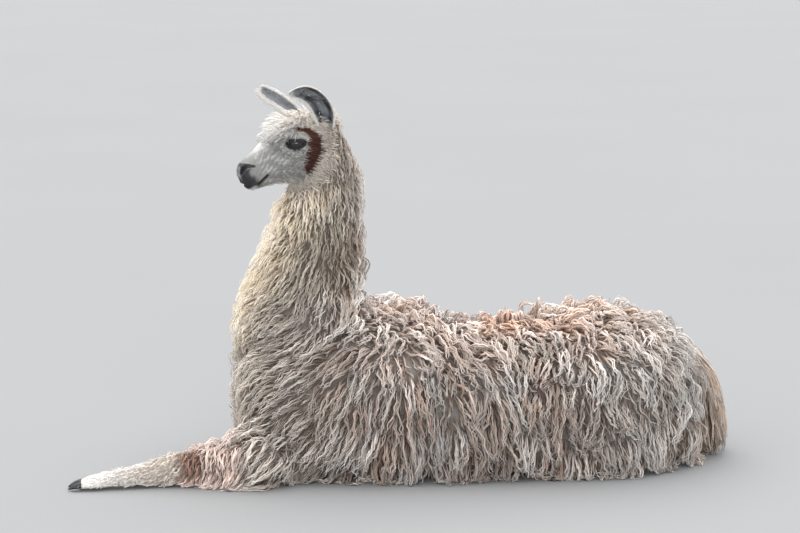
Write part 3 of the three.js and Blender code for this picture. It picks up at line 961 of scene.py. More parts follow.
@dataclass
class Skin:
    """The whole hide as one mesh: body, neck, head, ears and legs with no seam between them."""

    coarse: float = 5.4 * MM
    lowest: float = 6 * MM
    smoothings: int = 5
    ears: tuple[Ear, ...] = (LEFT_EAR, RIGHT_EAR)
    face: Face = field(default_factory=Face)
    mesh: bpy.types.Mesh | None = None
    bare_points: int = 0
    unshaped: Array | None = None

    def bodies(self) -> list[Surface]:
        """The lofted bodies that the hide wraps."""
        lofts = [TRUNK, NECK, SKULL, LEFT_FORELEG, TAIL_CORE]
        lofts += hind_leg(-1) + hind_leg(1)
        surfaces = [loft.surface() for loft in lofts]
        surfaces += self.foot()
        for surface in surfaces:
            surface.points[:, 2] = np.maximum(surface.points[:, 2], self.lowest)
        return surfaces

    def foot(self) -> list[Surface]:
        """The stretched forefoot: a pad and two toes on the floor."""

        def at(along: float, over: float, height: float) -> Place:
            """A point of the foot by its distance from the heel and from the middle line."""
            spot = HEEL_AT + FOOT_AHEAD * along + FOOT_ACROSS * over
            return (spot[0], spot[1], height)

        way = tuple(FOOT_ACROSS)
        parts = [Loft(((*at(-8, 0, 23), 21, 19, 30), (*at(46, 0, 18), 24, 15, 24)), (10, 10), 2.0, way)]
        for hand in (1, -1):
            toe = ((*at(26, hand * 12, 18), 14, 14, 20), (*at(78, hand * 15, 11), 10, 9, 16))
            parts.append(Loft(toe, (12, 8), 2.0, way))
        return [part.surface(sides=24, rings=16) for part in parts]

    def build(self) -> bpy.types.Mesh:
        """Wraps the bodies in one closed hide and shapes the face.

        Returns:
            The finished mesh in world metres.
        """
        carrier = into_scene("hide_raw", joined(self.bodies()).to_mesh("hide_raw"))
        wrap = carrier.modifiers.new("wrap", "REMESH")
        wrap.mode = "VOXEL"
        wrap.voxel_size = self.coarse
        wrap.use_smooth_shade = True
        graph = bpy.context.evaluated_depsgraph_get()
        wrapped = bpy.data.meshes.new_from_object(carrier.evaluated_get(graph))
        bpy.data.objects.remove(carrier)
        form = bmesh.new()
        form.from_mesh(wrapped)
        axes = {f"use_axis_{axis}": True for axis in "xyz"}
        for _ in range(self.smoothings):
            bmesh.ops.smooth_vert(form, verts=form.verts, factor=0.5, **axes)
        for level in range(3):
            self.refine(form, level)
        form.to_mesh(wrapped)
        form.free()
        self.sculpt(wrapped)
        self.bare_points = len(wrapped.vertices)
        shells = [*(ear.surface() for ear in self.ears), lid_rim(1), lid_rim(-1)]
        self.mesh = self.joined_with(wrapped, shells)
        return self.mesh

    def dress(self, markings: Markings) -> None:
        """Colours the hide, with painted shade where the fleece covers it, the ears by their inner and outer
        faces.
        """
        points = read_points(self.mesh)
        points[: self.bare_points] = self.unshaped
        # Painted shade: the skin under the fleece is darkened so that partings between locks read as dark
        # gaps.
        under_wool = smooth(4, -22, before_cheek(points)) * smooth(-0.64, -0.56, points[:, 0])
        colours = markings.colours(points) * (1 - 0.72 * under_wool[:, None])
        start = self.bare_points
        for ear in self.ears:
            _, _, along, across = ear.grid()
            count = along.size
            for outside in (1.0, 0.0):
                faces = np.full(count, outside)
                colours[start : start + count] = markings.ear(faces, across.ravel(), along.ravel(), ear.dark)
                start += count
        colours[start:] = linear(Shade.LIP.value)
        write_tint(self.mesh, colours)

    def refine(self, form: bmesh.types.BMesh, level: int) -> None:
        """Splits the faces of the head, and those round its openings once or twice more."""
        form.verts.ensure_lookup_table()
        points = world_to_head(np.array([v.co[:] for v in form.verts]))
        mirrored = folded(points)
        head = (points[:, 0] > -20) & (np.abs(points[:, 1]) < 90) & (points[:, 2] > -115)
        eye = np.linalg.norm(mirrored - EYE_AT, axis=1)
        if level == 0:
            chosen = head
        elif level == 1:
            chosen = head & ((eye < 46) | (points[:, 0] > 146))
        else:
            hole = np.full(len(points), 9.0)
            hole[points[:, 0] > 170] = nostril_gap(mirrored[points[:, 0] > 170])
            chosen = head & ((eye < 31) & (mirrored[:, 1] > 48) | (hole < 2.4))
        edges = [e for e in form.edges if chosen[e.verts[0].index] and chosen[e.verts[1].index]]
        bmesh.ops.subdivide_edges(form, edges=edges, cuts=1, use_grid_fill=True, smooth=0.0)
        form.verts.index_update()

    def sculpt(self, mesh: bpy.types.Mesh) -> None:
        """Gives the head its folds, one after the other."""
        world = read_points(mesh)
        normals = read_points(mesh, "normal") @ HEAD_TURN
        self.unshaped = world.copy()
        local = world_to_head(world)
        chosen = (local[:, 0] > -30) & (np.abs(local[:, 1]) < 95) & (local[:, 2] > -125)
        local[chosen] = self.face.shape(local[chosen], normals[chosen])
        world[chosen] = head_to_world(local[chosen])
        mesh.vertices.foreach_set("co", world.astype(np.float32).ravel())
        mesh.update()

    def joined_with(self, mesh: bpy.types.Mesh, extras: list[Surface]) -> bpy.types.Mesh:
        """Adds loose shells, such as the ears, to the hide."""
        form = bmesh.new()
        form.from_mesh(mesh)
        for number, extra in enumerate(extras):
            form.from_mesh(extra.to_mesh(f"extra_{number}"))
        bmesh.ops.recalc_face_normals(form, faces=form.faces)
        result = bpy.data.meshes.new("hide")
        form.to_mesh(result)
        form.free()
        result.polygons.foreach_set("use_smooth", np.ones(len(result.polygons), dtype=bool))
        return result


# ---- The lie of the coat --------------------------------------------------------------------------
@dataclass(frozen=True)
class Station:
    """How the coat grows at one place of the body; between places it changes smoothly.

    Places and sizes are in millimetres. The flow's middle number points away from the middle plane.

    Attributes:
        at: The place.
        reach: How far from there the station counts.
        length: Length of a lock.
        width: Width of a strand.
        lift: How high the coat stands over the skin.
        flow: The direction that locks lie in.
        spacing: Distance between roots.
        wave: How far a strand swings to its sides.
        crimp: Length of one wave.
        hang: How much a lock falls by its weight, from 0 to 1.
        spread: How far apart the strands of a lock start.
        curl: Size of the curl at the tip.
        stand: How upright a lock leaves the skin, from 0 to 1.
        mat: How much neighbouring locks gather into mats.
        stray: How much the directions of locks differ.
    """

    at: Place
    reach: float
    length: float
    width: float
    lift: float
    flow: Place
    spacing: float
    wave: float = 3.0
    crimp: float = 34.0
    hang: float = 0.3
    spread: float = 9.0
    curl: float = 4.0
    stand: float = 0.2
    mat: float = 1.0
    stray: float = 1.0


BODY_STATIONS = (
    Station((-190, 40, 905), 50, 36, 2.6, 12, (0.5, 0.5, -0.7), 9.8, 2.4, 22, 0.1, 4.8, 3, 0.2, 0.3, 0.7),
    Station((-200, 88, 800), 55, 54, 2.3, 18, (0.1, 0.1, -1), 10.0, 2.7, 21, 0.2, 4.4, 3, mat=0.3, stray=0.7),
    Station((-215, 100, 690), 60, 66, 2.2, 20, (0.05, 0.1, -1), 11.2, 2.9, 22, 0.2, 4.6, 4, 0.2, 0.35, 0.7),
    Station((-245, 125, 570), 50, 72, 2.4, 26, (-0.1, 0.1, -1), 12.0, 3.2, 24, 0.2, 5, 5, mat=0.4, stray=0.8),
    Station((-300, 30, 800), 45, 44, 1.8, 32, (-0.1, 0.1, -1), 8.2, 1.2, 16, 0.1, 6, 3, 0.6, 0.2),
    Station((-335, 40, 680), 62, 46, 1.9, 36, (-0.2, 0.15, -1), 8.2, 1.2, 17, 0.1, 6, 3, 0.7, 0.15),
    Station((-380, 60, 560), 66, 50, 1.9, 42, (-0.45, 0.15, -1), 8.4, 1.3, 18, 0.1, 7, 4, 0.8, 0.15),
    Station((-425, 60, 440), 66, 56, 2.1, 46, (-0.9, 0.15, -0.6), 9.0, 1.5, 20, 0.05, 7, 5, 0.8, 0.2),
    Station((-330, 130, 520), 55, 60, 2.4, 28, (-0.9, 0.05, -0.6), 11.0, 2.6, 24, 0.05, 5, 5, 0.35, 0.5),
    Station((-380, 150, 400), 60, 70, 2.7, 34, (-1, 0, -0.2), 12.0, 3.2, 26, 0.0, 5.5, 6, 0.35, 0.6),
    Station((-95, 20, 700), 60, 66, 2.8, 22, (0.2, 0.3, -1), 13, 3, 26, 0.25, 5, 4, mat=0.4),
    Station((-90, 30, 560), 60, 76, 3.1, 28, (0.3, 0.4, -1), 14, 3.4, 30, 0.25, 6, 5, mat=0.6),
    Station((-220, 170, 460), 55, 80, 3.0, 32, (-0.7, 0.1, -0.8), 13.6, 3.8, 28, 0.1, 6, 5, mat=0.6),
    Station((-455, 60, 310), 60, 74, 3, 40, (-0.9, 0.2, -0.7), 13, 3.4, 26, 0.15, 7, 7, 0.5, 0.7),
    Station((-450, 90, 190), 60, 84, 3.3, 38, (-1, 0.2, -0.7), 14, 3.8, 30, 0.3, 7, 7, 0.4, 0.8),
    Station((-430, 120, 90), 60, 84, 3.4, 38, (-1, 0.4, -0.6), 14.5, 4, 32, 0.4, 8, 7, 0.3, 0.8),
    Station((-330, 235, 380), 60, 84, 3.2, 38, (-1, 0, -0.3), 14, 4, 30, 0.05, 6.5, 6, mat=0.8),
    Station((-340, 245, 260), 70, 92, 3.4, 40, (-1, 0, -0.35), 14.8, 4.2, 32, 0.1, 7, 7, mat=0.9),
    Station((-320, 255, 120), 70, 96, 3.5, 40, (-0.95, 0.15, -0.75), 15, 4.2, 34, 0.35, 7, 7, mat=0.9),
    Station((-190, 262, 340), 70, 104, 3.8, 40, (-0.8, 0.05, -0.7), 16.0, 5.2, 38, 0.15, 7, 8, stray=1.2),
    Station((-130, 275, 150), 80, 118, 4.1, 42, (-0.3, 0.1, -1), 17, 5.8, 40, 0.5, 7, 9),
    Station((-60, 30, 440), 70, 62, 5.8, 40, (0.75, 0.6, -0.3), 15.4, 4.2, 34, 0.05, 7, 8, 0.4, stray=1.8),
    Station((170, 40, 388), 90, 56, 6.4, 40, (0.6, 0.85, -0.2), 15.2, 4.2, 32, 0.05, 7, 8, 0.42, stray=2.2),
    Station((150, 180, 350), 90, 92, 4.4, 42, (0.3, 0.4, -1), 16.4, 5.2, 40, 0.25, 7.5, 10, 0.3, stray=1.5),
    Station((120, 275, 200), 100, 122, 4.5, 44, (0.06, 0.1, -1), 17.6, 6, 42, 0.5, 7, 11, stray=1.1),
    Station((120, 280, 90), 90, 112, 4.3, 42, (0.02, 0.15, -1), 17.6, 6, 42, 0.7, 7.5, 11, stray=1.1),
    Station((330, 40, 400), 90, 56, 6.4, 40, (0.7, 0.8, -0.2), 15.2, 4.2, 32, 0.05, 7, 8, 0.42, stray=2.2),
    Station((350, 200, 350), 90, 88, 4.3, 42, (0.35, 0.3, -1), 16.2, 5.2, 36, 0.25, 7.5, 11, 0.3, stray=1.5),
    Station((540, 40, 430), 90, 56, 6.0, 40, (0.9, 0.6, -0.1), 15.2, 4.2, 30, 0.05, 7, 9, 0.42, stray=2),
    Station((560, 190, 350), 80, 80, 4.1, 42, (0.5, 0.3, -1), 15.8, 5, 32, 0.15, 7.5, 12, 0.35, stray=1.8),
    Station((480, 285, 190), 90, 92, 4, 42, (0.1, 0.1, -1), 16.2, 5.4, 32, 0.35, 7.5, 12, 0.25, stray=1.4),
    Station((600, 250, 90), 80, 92, 3.9, 40, (0.15, 0.15, -1), 16.2, 5.2, 32, 0.5, 7.5, 12, stray=1.2),
    Station((700, 60, 370), 60, 70, 4, 38, (1, 0.3, -0.4), 15.4, 4.4, 32, 0.15, 8, 12, 0.4, stray=1.6),
    Station((672, 70, 392), 26, 130, 3, 60, (0.5, 0.1, 0.6), 12, 2.4, 30, 0.0, 5, 6, 1.0, 0.2, 0.6),
    Station((740, 130, 200), 70, 92, 3.8, 38, (0.3, 0.4, -1), 16, 5, 34, 0.4, 8, 11, stray=1.2),
    Station((-480, 200, 90), 50, 58, 3.4, 16, (-0.3, 0.7, -0.9), 12.4, 3, 28, 0.5, 6, 6, 0.1),
    Station((-555, 195, 85), 30, 34, 2.9, 12, (-0.5, 0.6, -0.8), 10.0, 2.4, 20, 0.3, 5, 4, 0.15),
    Station((-640, 196, 55), 38, 30, 2.4, 12, (-0.7, 0.7, -0.4), 8.4, 3.4, 14, 0.2, 5, 6, 0.5),
    Station((-715, 200, 40), 34, 22, 2.1, 8, (-0.9, 0.5, -0.3), 7.8, 2.6, 12, 0.2, 4, 5, 0.4),
    Station((-790, 208, 30), 30, 12, 1.8, 3, (-1, 0.1, -0.1), 6.4, 0.8, 12, 0.1, 3, 2, 0.4),
    Station((-860, 208, 15), 30, 6, 1.6, 2, (-1, 0, 0), 5.4, 0.3, 12, 0.1, 2, 1),
)
TAIL_STATIONS = (
    Station((680, 0, 350), 60, 130, 4.0, 16, (1, 0.25, -0.9), 15, 1.6, 60, 0.3, 8, 3),
    Station((800, 40, 230), 60, 170, 4.0, 22, (0.35, 0.1, -1), 14, 1.6, 70, 0.6, 8, 3),
    Station((840, 40, 100), 60, 120, 3.8, 20, (0.1, 0.1, -1), 14, 1.6, 70, 0.7, 8, 3),
)
HEAD_STATIONS = (
    Station((212, 12, 26), 12, 3.0, 0.9, 0, (-1, 0, 0.2), 3.9, 0.1, stand=0.12, spread=1.4),
    Station((205, 26, -12), 14, 3.2, 0.9, 0, (-1, 0, -0.3), 3.9, 0.1, stand=0.12, spread=1.4),
    Station((200, 10, -52), 14, 6.0, 1.0, 0, (-0.8, 0, -0.7), 4.0, 0.3, stand=0.4, spread=1.6),
    Station((160, 12, 48), 18, 5.0, 1.0, 0, (-1, 0, 0.3), 4.3, 0.3, stand=0.18, spread=1.8),
    Station((150, 34, 0), 20, 5.5, 1.0, 0, (-1, 0, -0.25), 4.3, 0.3, stand=0.16, spread=1.8),
    Station((130, 24, -60), 20, 15, 1.3, 0, (-0.9, 0.1, -0.6), 4.8, 1.2, stand=0.45, spread=2.4),
    Station((110, 50, -15), 20, 9, 1.3, 0, (-1, 0, -0.35), 4.6, 0.8, stand=0.28, spread=2.2),
    Station((70, 62, -30), 22, 13, 1.6, 0, (-0.9, 0, -0.7), 5.0, 1.8, stand=0.42, spread=2.6),
    Station((25, 66, -40), 22, 22, 1.9, 0, (-0.6, 0, -1), 5.4, 2.4, stand=0.46, spread=3.2),
    Station((66, 60, 44), 13, 7, 1.2, 0, (-0.6, 0.2, 0.6), 4.4, 0.5, stand=0.34, spread=1.8),
    Station((30, 66, 20), 18, 10, 1.5, 0, (-1, 0, -0.5), 4.7, 1.0, stand=0.3, spread=2.4),
    Station((110, 34, 50), 16, 11, 1.5, 0, (0.4, 0.8, -0.2), 4.8, 1.8, stand=0.5, spread=2.6),
    Station((104, 14, -84), 20, 24, 1.6, 0, (-0.7, 0.1, -0.8), 5.0, 2.0, stand=0.6, spread=3.0),
    Station((60, 10, -98), 24, 32, 1.9, 0, (-0.9, 0.2, -0.8), 5.4, 2.2, stand=0.6, spread=3.2),
    Station((-10, 58, 40), 20, 20, 2.0, 0, (-0.7, 0.2, -0.8), 5.6, 2.0, stand=0.45, spread=3.2),
)
TOPKNOT_STATIONS = (
    Station((124, 0, 60), 13, 16, 1.2, 0, (0.9, 0.3, 0.2), 4.4, 1.4, 14, stand=0.50, spread=3.0, curl=3),
    Station((100, 10, 68), 16, 34, 1.2, 0, (1, 0.35, 0.1), 4.9, 1.8, 18, stand=0.66, spread=4.0, curl=5),
    Station((50, 10, 72), 24, 54, 1.3, 0, (1, 0.4, 0), 5.3, 2.2, 24, stand=0.84, spread=4.6, curl=6),
    Station((4, 10, 66), 22, 48, 1.4, 0, (0.3, 0.7, 0), 5.5, 2.2, 24, stand=0.78, spread=4.6, curl=5),
    Station((-40, 20, 50), 24, 32, 1.6, 0, (-1, 0.3, -0.6), 5.8, 2.2, 22, stand=0.35, spread=4.6, curl=4),
)


SIZE_NAMES = tuple(part.name for part in fields(Station) if part.name not in ("at", "reach", "flow"))
# Distance between the middles of mats, in spacings of their locks.
MAT_SPACING = 2.9
NEIGHBOURS = tuple(product((-1, 0, 1), repeat=3))
# Roots that are matched to mats at a time.
BLOCK = 400
# Places tried for each root that is wanted, and the least gap between roots as a share of their spacing.
TRIES = 3.2
CLOSEST = 0.84


class Lie:
    """The coat's growth at any place, blended from stations."""

    def __init__(self, stations: tuple[Station, ...], on_head: bool = False) -> None:
        """Keeps the stations as tables."""
        self.on_head = on_head
        self.places = np.array([s.at for s in stations], float)
        self.reaches = np.array([s.reach for s in stations], float)
        self.flows = np.array([s.flow for s in stations], float)
        self.table = np.array([[getattr(s, name) for name in SIZE_NAMES] for s in stations], float)

    def local(self, points: Array) -> Array:
        """World metres as the millimetres that the stations are written in."""
        return world_to_head(points) if self.on_head else points / MM

    def weights(self, points: Array) -> Array:
        """How much each station counts at each point."""
        local = self.local(points)
        local[:, 1] = np.abs(local[:, 1])
        gap = np.linalg.norm(local[:, None] - self.places[None], axis=2) / self.reaches
        weight = np.exp(-(gap**2) / 2) + 1e-4 / (1 + gap**4)
        return weight / weight.sum(axis=1, keepdims=True)

    def values(self, points: Array) -> dict[str, Array]:
        """The sizes at each point, still in millimetres."""
        blended = self.weights(points) @ self.table
        sizes = {name: blended[:, k] for k, name in enumerate(SIZE_NAMES)}
        if not self.on_head:
            near = smooth(-100, -5, before_cheek(points))
            sizes["lift"] = sizes["lift"] * (1 - 0.60 * near)
            sizes["length"] = sizes["length"] * (1 - 0.35 * near)
        return sizes

    def flow(self, points: Array, normals: Array) -> Array:
        """The direction of growth along the skin at each point."""
        way = self.weights(points) @ self.flows
        side = np.sign(self.local(points)[:, 1])
        way[:, 1] *= np.where(side == 0, 1, side)
        if self.on_head:
            way = way @ HEAD_TURN.T
        return unit(way - normals * np.sum(way * normals, axis=1, keepdims=True))


@dataclass
class Roots:
    """Places on the skin where locks grow."""

    points: Array
    normals: Array


class Hide:
    """The skin as triangles to sow on and a surface to lie on."""

    def __init__(self, mesh: bpy.types.Mesh, bare_points: int) -> None:
        """Reads the triangles of a mesh, whose points from a number on belong to ears and lids."""
        mesh.calc_loop_triangles()
        self.points = read_points(mesh)
        self.point_normals = read_points(mesh, "normal")
        corners = np.empty(len(mesh.loop_triangles) * 3, np.int32)
        mesh.loop_triangles.foreach_get("vertices", corners)
        self.corners = corners.reshape(-1, 3)
        self.middles = self.points[self.corners].mean(axis=1)
        self.plain = self.corners.max(axis=1) < bare_points
        a, b, c = (self.points[self.corners[:, k]] for k in range(3))
        cross = np.cross(b - a, c - a)
        self.areas = np.linalg.norm(cross, axis=1) / 2
        self.tree = BVHTree.FromPolygons(self.points.tolist(), self.corners.tolist())

    def sow(self, chosen: Array, spacing: Array, rng: np.random.Generator) -> Roots:
        """Sows roots evenly, with no two much closer than the spacing asks.

        Args:
            chosen: Which triangles take roots.
            spacing: Distance between roots on each triangle, in metres.
            rng: Source of chance.

        Returns:
            The roots.
        """
        index = np.flatnonzero(chosen & self.plain)
        chance = self.areas[index] / spacing[index] ** 2
        count = int(chance.sum() * TRIES)
        picked = rng.choice(index, size=count, p=chance / chance.sum())
        mixture = rng.dirichlet((1, 1, 1), size=count)
        corners = self.corners[picked]
        points = np.einsum("nk,nkd->nd", mixture, self.points[corners])
        normals = unit(np.einsum("nk,nkd->nd", mixture, self.point_normals[corners]))
        keep = self.thinned(points, spacing[picked] * CLOSEST)
        return Roots(points[keep], normals[keep])

    @staticmethod
    def thinned(points: Array, gap: Array) -> Array:
        """Drops points that stand too close to an earlier one."""
        keys = np.floor(points / float(gap.max())).astype(int).tolist()
        spots = points.tolist()
        taken: dict[tuple[int, int, int], list[int]] = {}
        kept = []
        for k, (x, y, z) in enumerate(keys):
            px, py, pz = spots[k]
            limit = gap[k] ** 2
            around = (taken.get((x + dx, y + dy, z + dz), ()) for dx, dy, dz in NEIGHBOURS)
            others = (spots[other] for cell in around for other in cell)
            if any((px - qx) ** 2 + (py - qy) ** 2 + (pz - qz) ** 2 < limit for qx, qy, qz in others):
                continue
            taken.setdefault((x, y, z), []).append(k)
            kept.append(k)
        return np.array(kept, int)

    def nearest(self, points: Array, fallback: Array) -> tuple[Array, Array]:
        """The closest place on the skin to each point, with its outward direction."""
        spots = np.empty_like(points)
        normals = np.empty_like(points)
        for k, point in enumerate(points.tolist()):
            spot, normal, _, _ = self.tree.find_nearest(point)
            spots[k] = spot
            normals[k] = normal
        flipped = np.sum(normals * fallback, axis=1) < -0.2
        normals[flipped] = fallback[flipped]
        return spots, normals


# ---- Locks ----------------------------------------------------------------------------------------
@dataclass
class Guides:
    """The middle lines of some locks, root first."""

    lines: Array
    up: Array
    length: Array
    sizes: dict[str, Array]


def spun(vectors: Array, axes: Array, angles: Array) -> Array:
    """Vectors turned about axes that they are square to."""
    return vectors * np.cos(angles)[:, None] + np.cross(axes, vectors) * np.sin(angles)[:, None]


def lay_locks(hide: Hide, roots: Roots, lie: Lie, steps: int, rng: np.random.Generator) -> Guides:
    """Lays each lock over the body: out of the skin, along the coat's flow, then down by its weight.

    Args:
        hide: The skin that the locks lie on.
        roots: Where they grow.
        lie: How they grow there.
        steps: Segments of each line.
        rng: Source of chance.

    Returns:
        One line for each root.
    """
    sizes = lie.values(roots.points)
    count = len(roots.points)
    length = sizes["length"] * MM * rng.uniform(0.6, 1.2, count)
    length = length * (1 + 0.2 * wander(roots.points, 0.06, 21))
    lift = sizes["lift"] * MM * rng.uniform(0.3, 1.0, count) ** 0.8
    lift = lift * (1 + 0.28 * wander(roots.points, 0.05, 24))
    sway = 0.45 * wander(roots.points, 0.06, 22) + 0.30 * wander(roots.points, 0.025, 23)
    sway = (sway + rng.normal(0, 0.14, count)) * sizes["stray"]
    hang = sizes["hang"]
    spot, normal = roots.points.copy(), roots.normals.copy()
    lines, ups = [spot - normal * 2 * MM], [normal]
    step = length / steps
    for k in range(1, steps + 1):
        share = k / steps
        way = spun(lie.flow(spot, normal), normal, sway * (0.5 + 0.5 * share))
        way = unit(way - UPWARD * (hang * share * 1.6)[:, None])
        way = unit(way + normal * (sizes["stand"] * (1.1 - share) * 1.4)[:, None])
        ahead = spot + way * step[:, None]
        surface, outward = hide.nearest(ahead, normal)
        height = np.sum((ahead - surface) * outward, axis=1)
        rise = min(1.0, share * 3.2) ** 0.8 * (1.0 - 0.28 * share)
        wanted = lift * rise
        gap = wanted - height
        gap = np.where(gap < 0, gap * (1 - np.clip(sizes["stand"] * 1.3, 0, 0.9)), gap)
        hold = np.where(gap > 0, 0.85, 0.75 - 0.65 * np.clip(hang * 1.5, 0, 1))
        ahead = ahead + outward * (gap * hold)[:, None]
        low = FLOOR_CLEARANCE + sizes["width"] * MM * 0.4
        sunk = np.maximum(low - ahead[:, 2], 0)
        level = unit(outward * np.array([1, 1, 0.0]))
        ahead[:, :2] += (level * sunk[:, None])[:, :2] * 0.7
        ahead[:, 2] += sunk
        normal = unit(0.5 * normal + 0.5 * outward)
        spot = ahead
        lines.append(spot)
        ups.append(normal)
    return Guides(np.stack(lines, axis=1), np.stack(ups, axis=1), length, sizes)


def gather_mats(
    hide: Hide,
    roots: Roots,
    guides: Guides,
    lie: Lie,
    chosen: Array,
    rng: np.random.Generator,
) -> Array:
    """Draws neighbouring locks together into mats that bulge, with low gaps between them.

    Args:
        hide: The skin that the locks lie on.
        roots: Where the locks grow.
        guides: The locks' lines, which this moves.
        lie: How they grow there.
        chosen: Which triangles of the hide take roots.
        rng: Source of chance.

    Returns:
        A chance value from 0 to 1 for each lock, the same all over one mat.
    """
    apart = lie.values(hide.middles)["spacing"] * MM * MAT_SPACING
    cores = hide.sow(chosen, apart, rng)
    trunks = lay_locks(hide, cores, lie, guides.lines.shape[1] - 1, rng)
    owner = np.empty(len(roots.points), int)
    gap = np.empty(len(roots.points))
    for start in range(0, len(owner), BLOCK):
        block = slice(start, start + BLOCK)
        distance = np.linalg.norm(roots.points[block][:, None] - cores.points[None], axis=2)
        owner[block] = distance.argmin(axis=1)
        gap[block] = distance.min(axis=1)
    share = np.linspace(0, 1, guides.lines.shape[1])
    offset = roots.points - cores.points[owner]
    aim = trunks.lines[owner] + offset[:, None] * (1 - 0.75 * share)[None, :, None]
    pull = 0.56 * smooth(0.0, 0.9, share) * np.clip(guides.sizes["mat"], 0, 1)[:, None]
    guides.lines += (aim - guides.lines) * pull[..., None]
    reach = lie.values(roots.points)["spacing"] * MM * MAT_SPACING * 0.62
    dome = 1.0 - (gap / reach) ** 2 * 1.5
    swell = 0.45 * guides.sizes["lift"] * MM * dome * guides.sizes["mat"]
    guides.lines += guides.up * swell[:, None, None] * np.sin(math.pi * share**0.6)[None, :, None]
    return rng.uniform(0, 1, len(cores.points))[owner]


def raise_tufts(roots: Roots, lie: Lie, steps: int, rng: np.random.Generator) -> Guides:
    """Grows short tufts in one gentle bow each, without feeling for the skin.

    Args:
        roots: Where they grow.
        lie: How they grow there.
        steps: Segments of each line.
        rng: Source of chance.

    Returns:
        One line for each root.
    """
    sizes = lie.values(roots.points)
    count = len(roots.points)
    length = sizes["length"] * MM * rng.uniform(0.7, 1.2, count)
    sway = 0.35 * wander(roots.points, 0.016, 31) + rng.normal(0, 0.16, count)
    flow = spun(lie.flow(roots.points, roots.normals), roots.normals, sway)
    stand = np.clip(sizes["stand"] * rng.uniform(0.6, 1.3, count), 0.02, 1.0)
    share = np.linspace(0, 1, steps + 1)[None, :, None]
    bow = share - 0.62 * share**2
    along = flow[:, None] * share * np.sqrt(1 - stand[:, None, None] ** 2 * 0.6)
    out = roots.normals[:, None] * bow * 1.5 * stand[:, None, None]
    lines = roots.points[:, None] - roots.normals[:, None] * 0.4 * MM + (along + out) * length[:, None, None]
    up = np.repeat(roots.normals[:, None], steps + 1, axis=1)
    return Guides(lines, up, length, sizes)


@dataclass
class Strands:
    """Many thin solid strands: their middle lines, sizes, and the root place that gives their colour."""

    lines: Array
    up: Array
    radius: Array
    length: Array
    roots: Array
    lot: Array
    shade: Array

    def parts(self) -> tuple[Array, ...]:
        """All values, one array each."""
        return (self.lines, self.up, self.radius, self.length, self.roots, self.lot, self.shade)

    def only(self, chosen: Array) -> "Strands":
        """The strands that are chosen."""
        return Strands(*(part[chosen] for part in self.parts()))

    def with_more(self, other: "Strands") -> "Strands":
        """These strands and some others."""
        return Strands(*(np.concatenate(pair) for pair in zip(self.parts(), other.parts())))


def comb(
    guides: Guides,
    per_lock: int,
    rng: np.random.Generator,
    finest: float = 0.5,
    loose: float = 1.0,
    lots: Array | None = None,
) -> Strands:
    """Parts each lock into strands that start apart, come together and end in a curl.

    Args:
        guides: The middle lines of the locks.
        per_lock: Strands in each lock.
        rng: Source of chance.
        finest: The least share of its width that a strand has.
        loose: How far the strands stray, 1 for tidy locks and more for frizz.
        lots: A chance value for each lock that its strands share in part.

    Returns:
        The strands.
    """
    locks = len(guides.lines)
    steps = guides.lines.shape[1] - 1
    pick = np.repeat(np.arange(locks), per_lock)
    total = len(pick)
    lines, up = guides.lines[pick], guides.up[pick]
    size = {name: values[pick] for name, values in guides.sizes.items()}
    share = np.linspace(0, 1, steps + 1)
    tangent = unit(np.gradient(lines, axis=1))
    side = unit(np.cross(tangent, up))
    over = np.cross(side, tangent)
    gather = 1.0 - 0.75 * smooth(0.0, 0.6, share)
    spread = (size["spread"] * MM * loose)[:, None]
    sideways = rng.uniform(-1, 1, total)[:, None] * spread * gather
    outward = rng.uniform(-0.35, 0.55, total)[:, None] * spread * np.minimum(share * 2, 1) * gather
    start = rng.uniform(-1, 1, total)[:, None] * spread * (1 - 0.5 * share)
    lock_phase = rng.uniform(0, 2 * math.pi, locks)[pick]
    phase = (lock_phase + rng.normal(0, 0.5, total))[:, None]
    turns = (guides.length[pick] / (size["crimp"] * MM))[:, None] * rng.uniform(0.8, 1.25, total)[:, None]
    swing = (size["wave"] * MM * loose)[:, None] * share**0.7
    angle = 2 * math.pi * turns * share + phase
    curl = (size["curl"] * MM * loose * np.clip(guides.length[pick] / 0.03, 0, 1))[:, None]
    curl = curl * smooth(0.62, 1.0, share) * rng.uniform(0.3, 1.3, total)[:, None]
    curl_angle = phase * 2 + 5.0 * share
    second = 1.73 * angle + rng.uniform(0, 2 * math.pi, locks)[pick][:, None]
    shift_side = sideways + swing * (0.8 * np.sin(angle) + 0.4 * np.sin(second)) + curl * np.cos(curl_angle)
    shift_over = outward + 0.55 * swing * np.cos(angle) + curl * np.sin(curl_angle) * 0.9
    lines = lines + side * shift_side[..., None] + over * shift_over[..., None]
    lines = lines + tangent[:, :1] * start[..., None]
    radius = size["width"] * MM * 0.5 * rng.uniform(finest, 1.25, total)
    lot = rng.uniform(0, 1, locks) * 0.4 + (0.6 * lots if lots is not None else 0.3)
    lot = lot[pick] * 0.7 + rng.uniform(0, 1, total) * 0.3
    return Strands(lines, up, radius, guides.length[pick], lines[:, 0], lot, np.zeros(lines.shape[:2]))


def shade_deep(strands: Strands, hide: Hide, lie: Lie) -> None:
    """Marks how deep each point of the strands lies in the coat, 1 at the skin and 0 at the outside, for the
    painted shade of the wool.

    Args:
        strands: The strands, which this marks.
        hide: The skin that they grow on.
        lie: How high the coat stands there.
    """
    total, count = strands.lines.shape[:2]
    flat = strands.lines.reshape(-1, 3)
    surface, outward = hide.nearest(flat, strands.up.reshape(-1, 3))
    height = np.sum((flat - surface) * outward, axis=1).reshape(total, count)
    lift = lie.values(strands.roots)["lift"] * MM
    strands.shade = 1.0 - smooth(0.05, 0.66, height / np.maximum(lift, 2 * MM)[:, None])


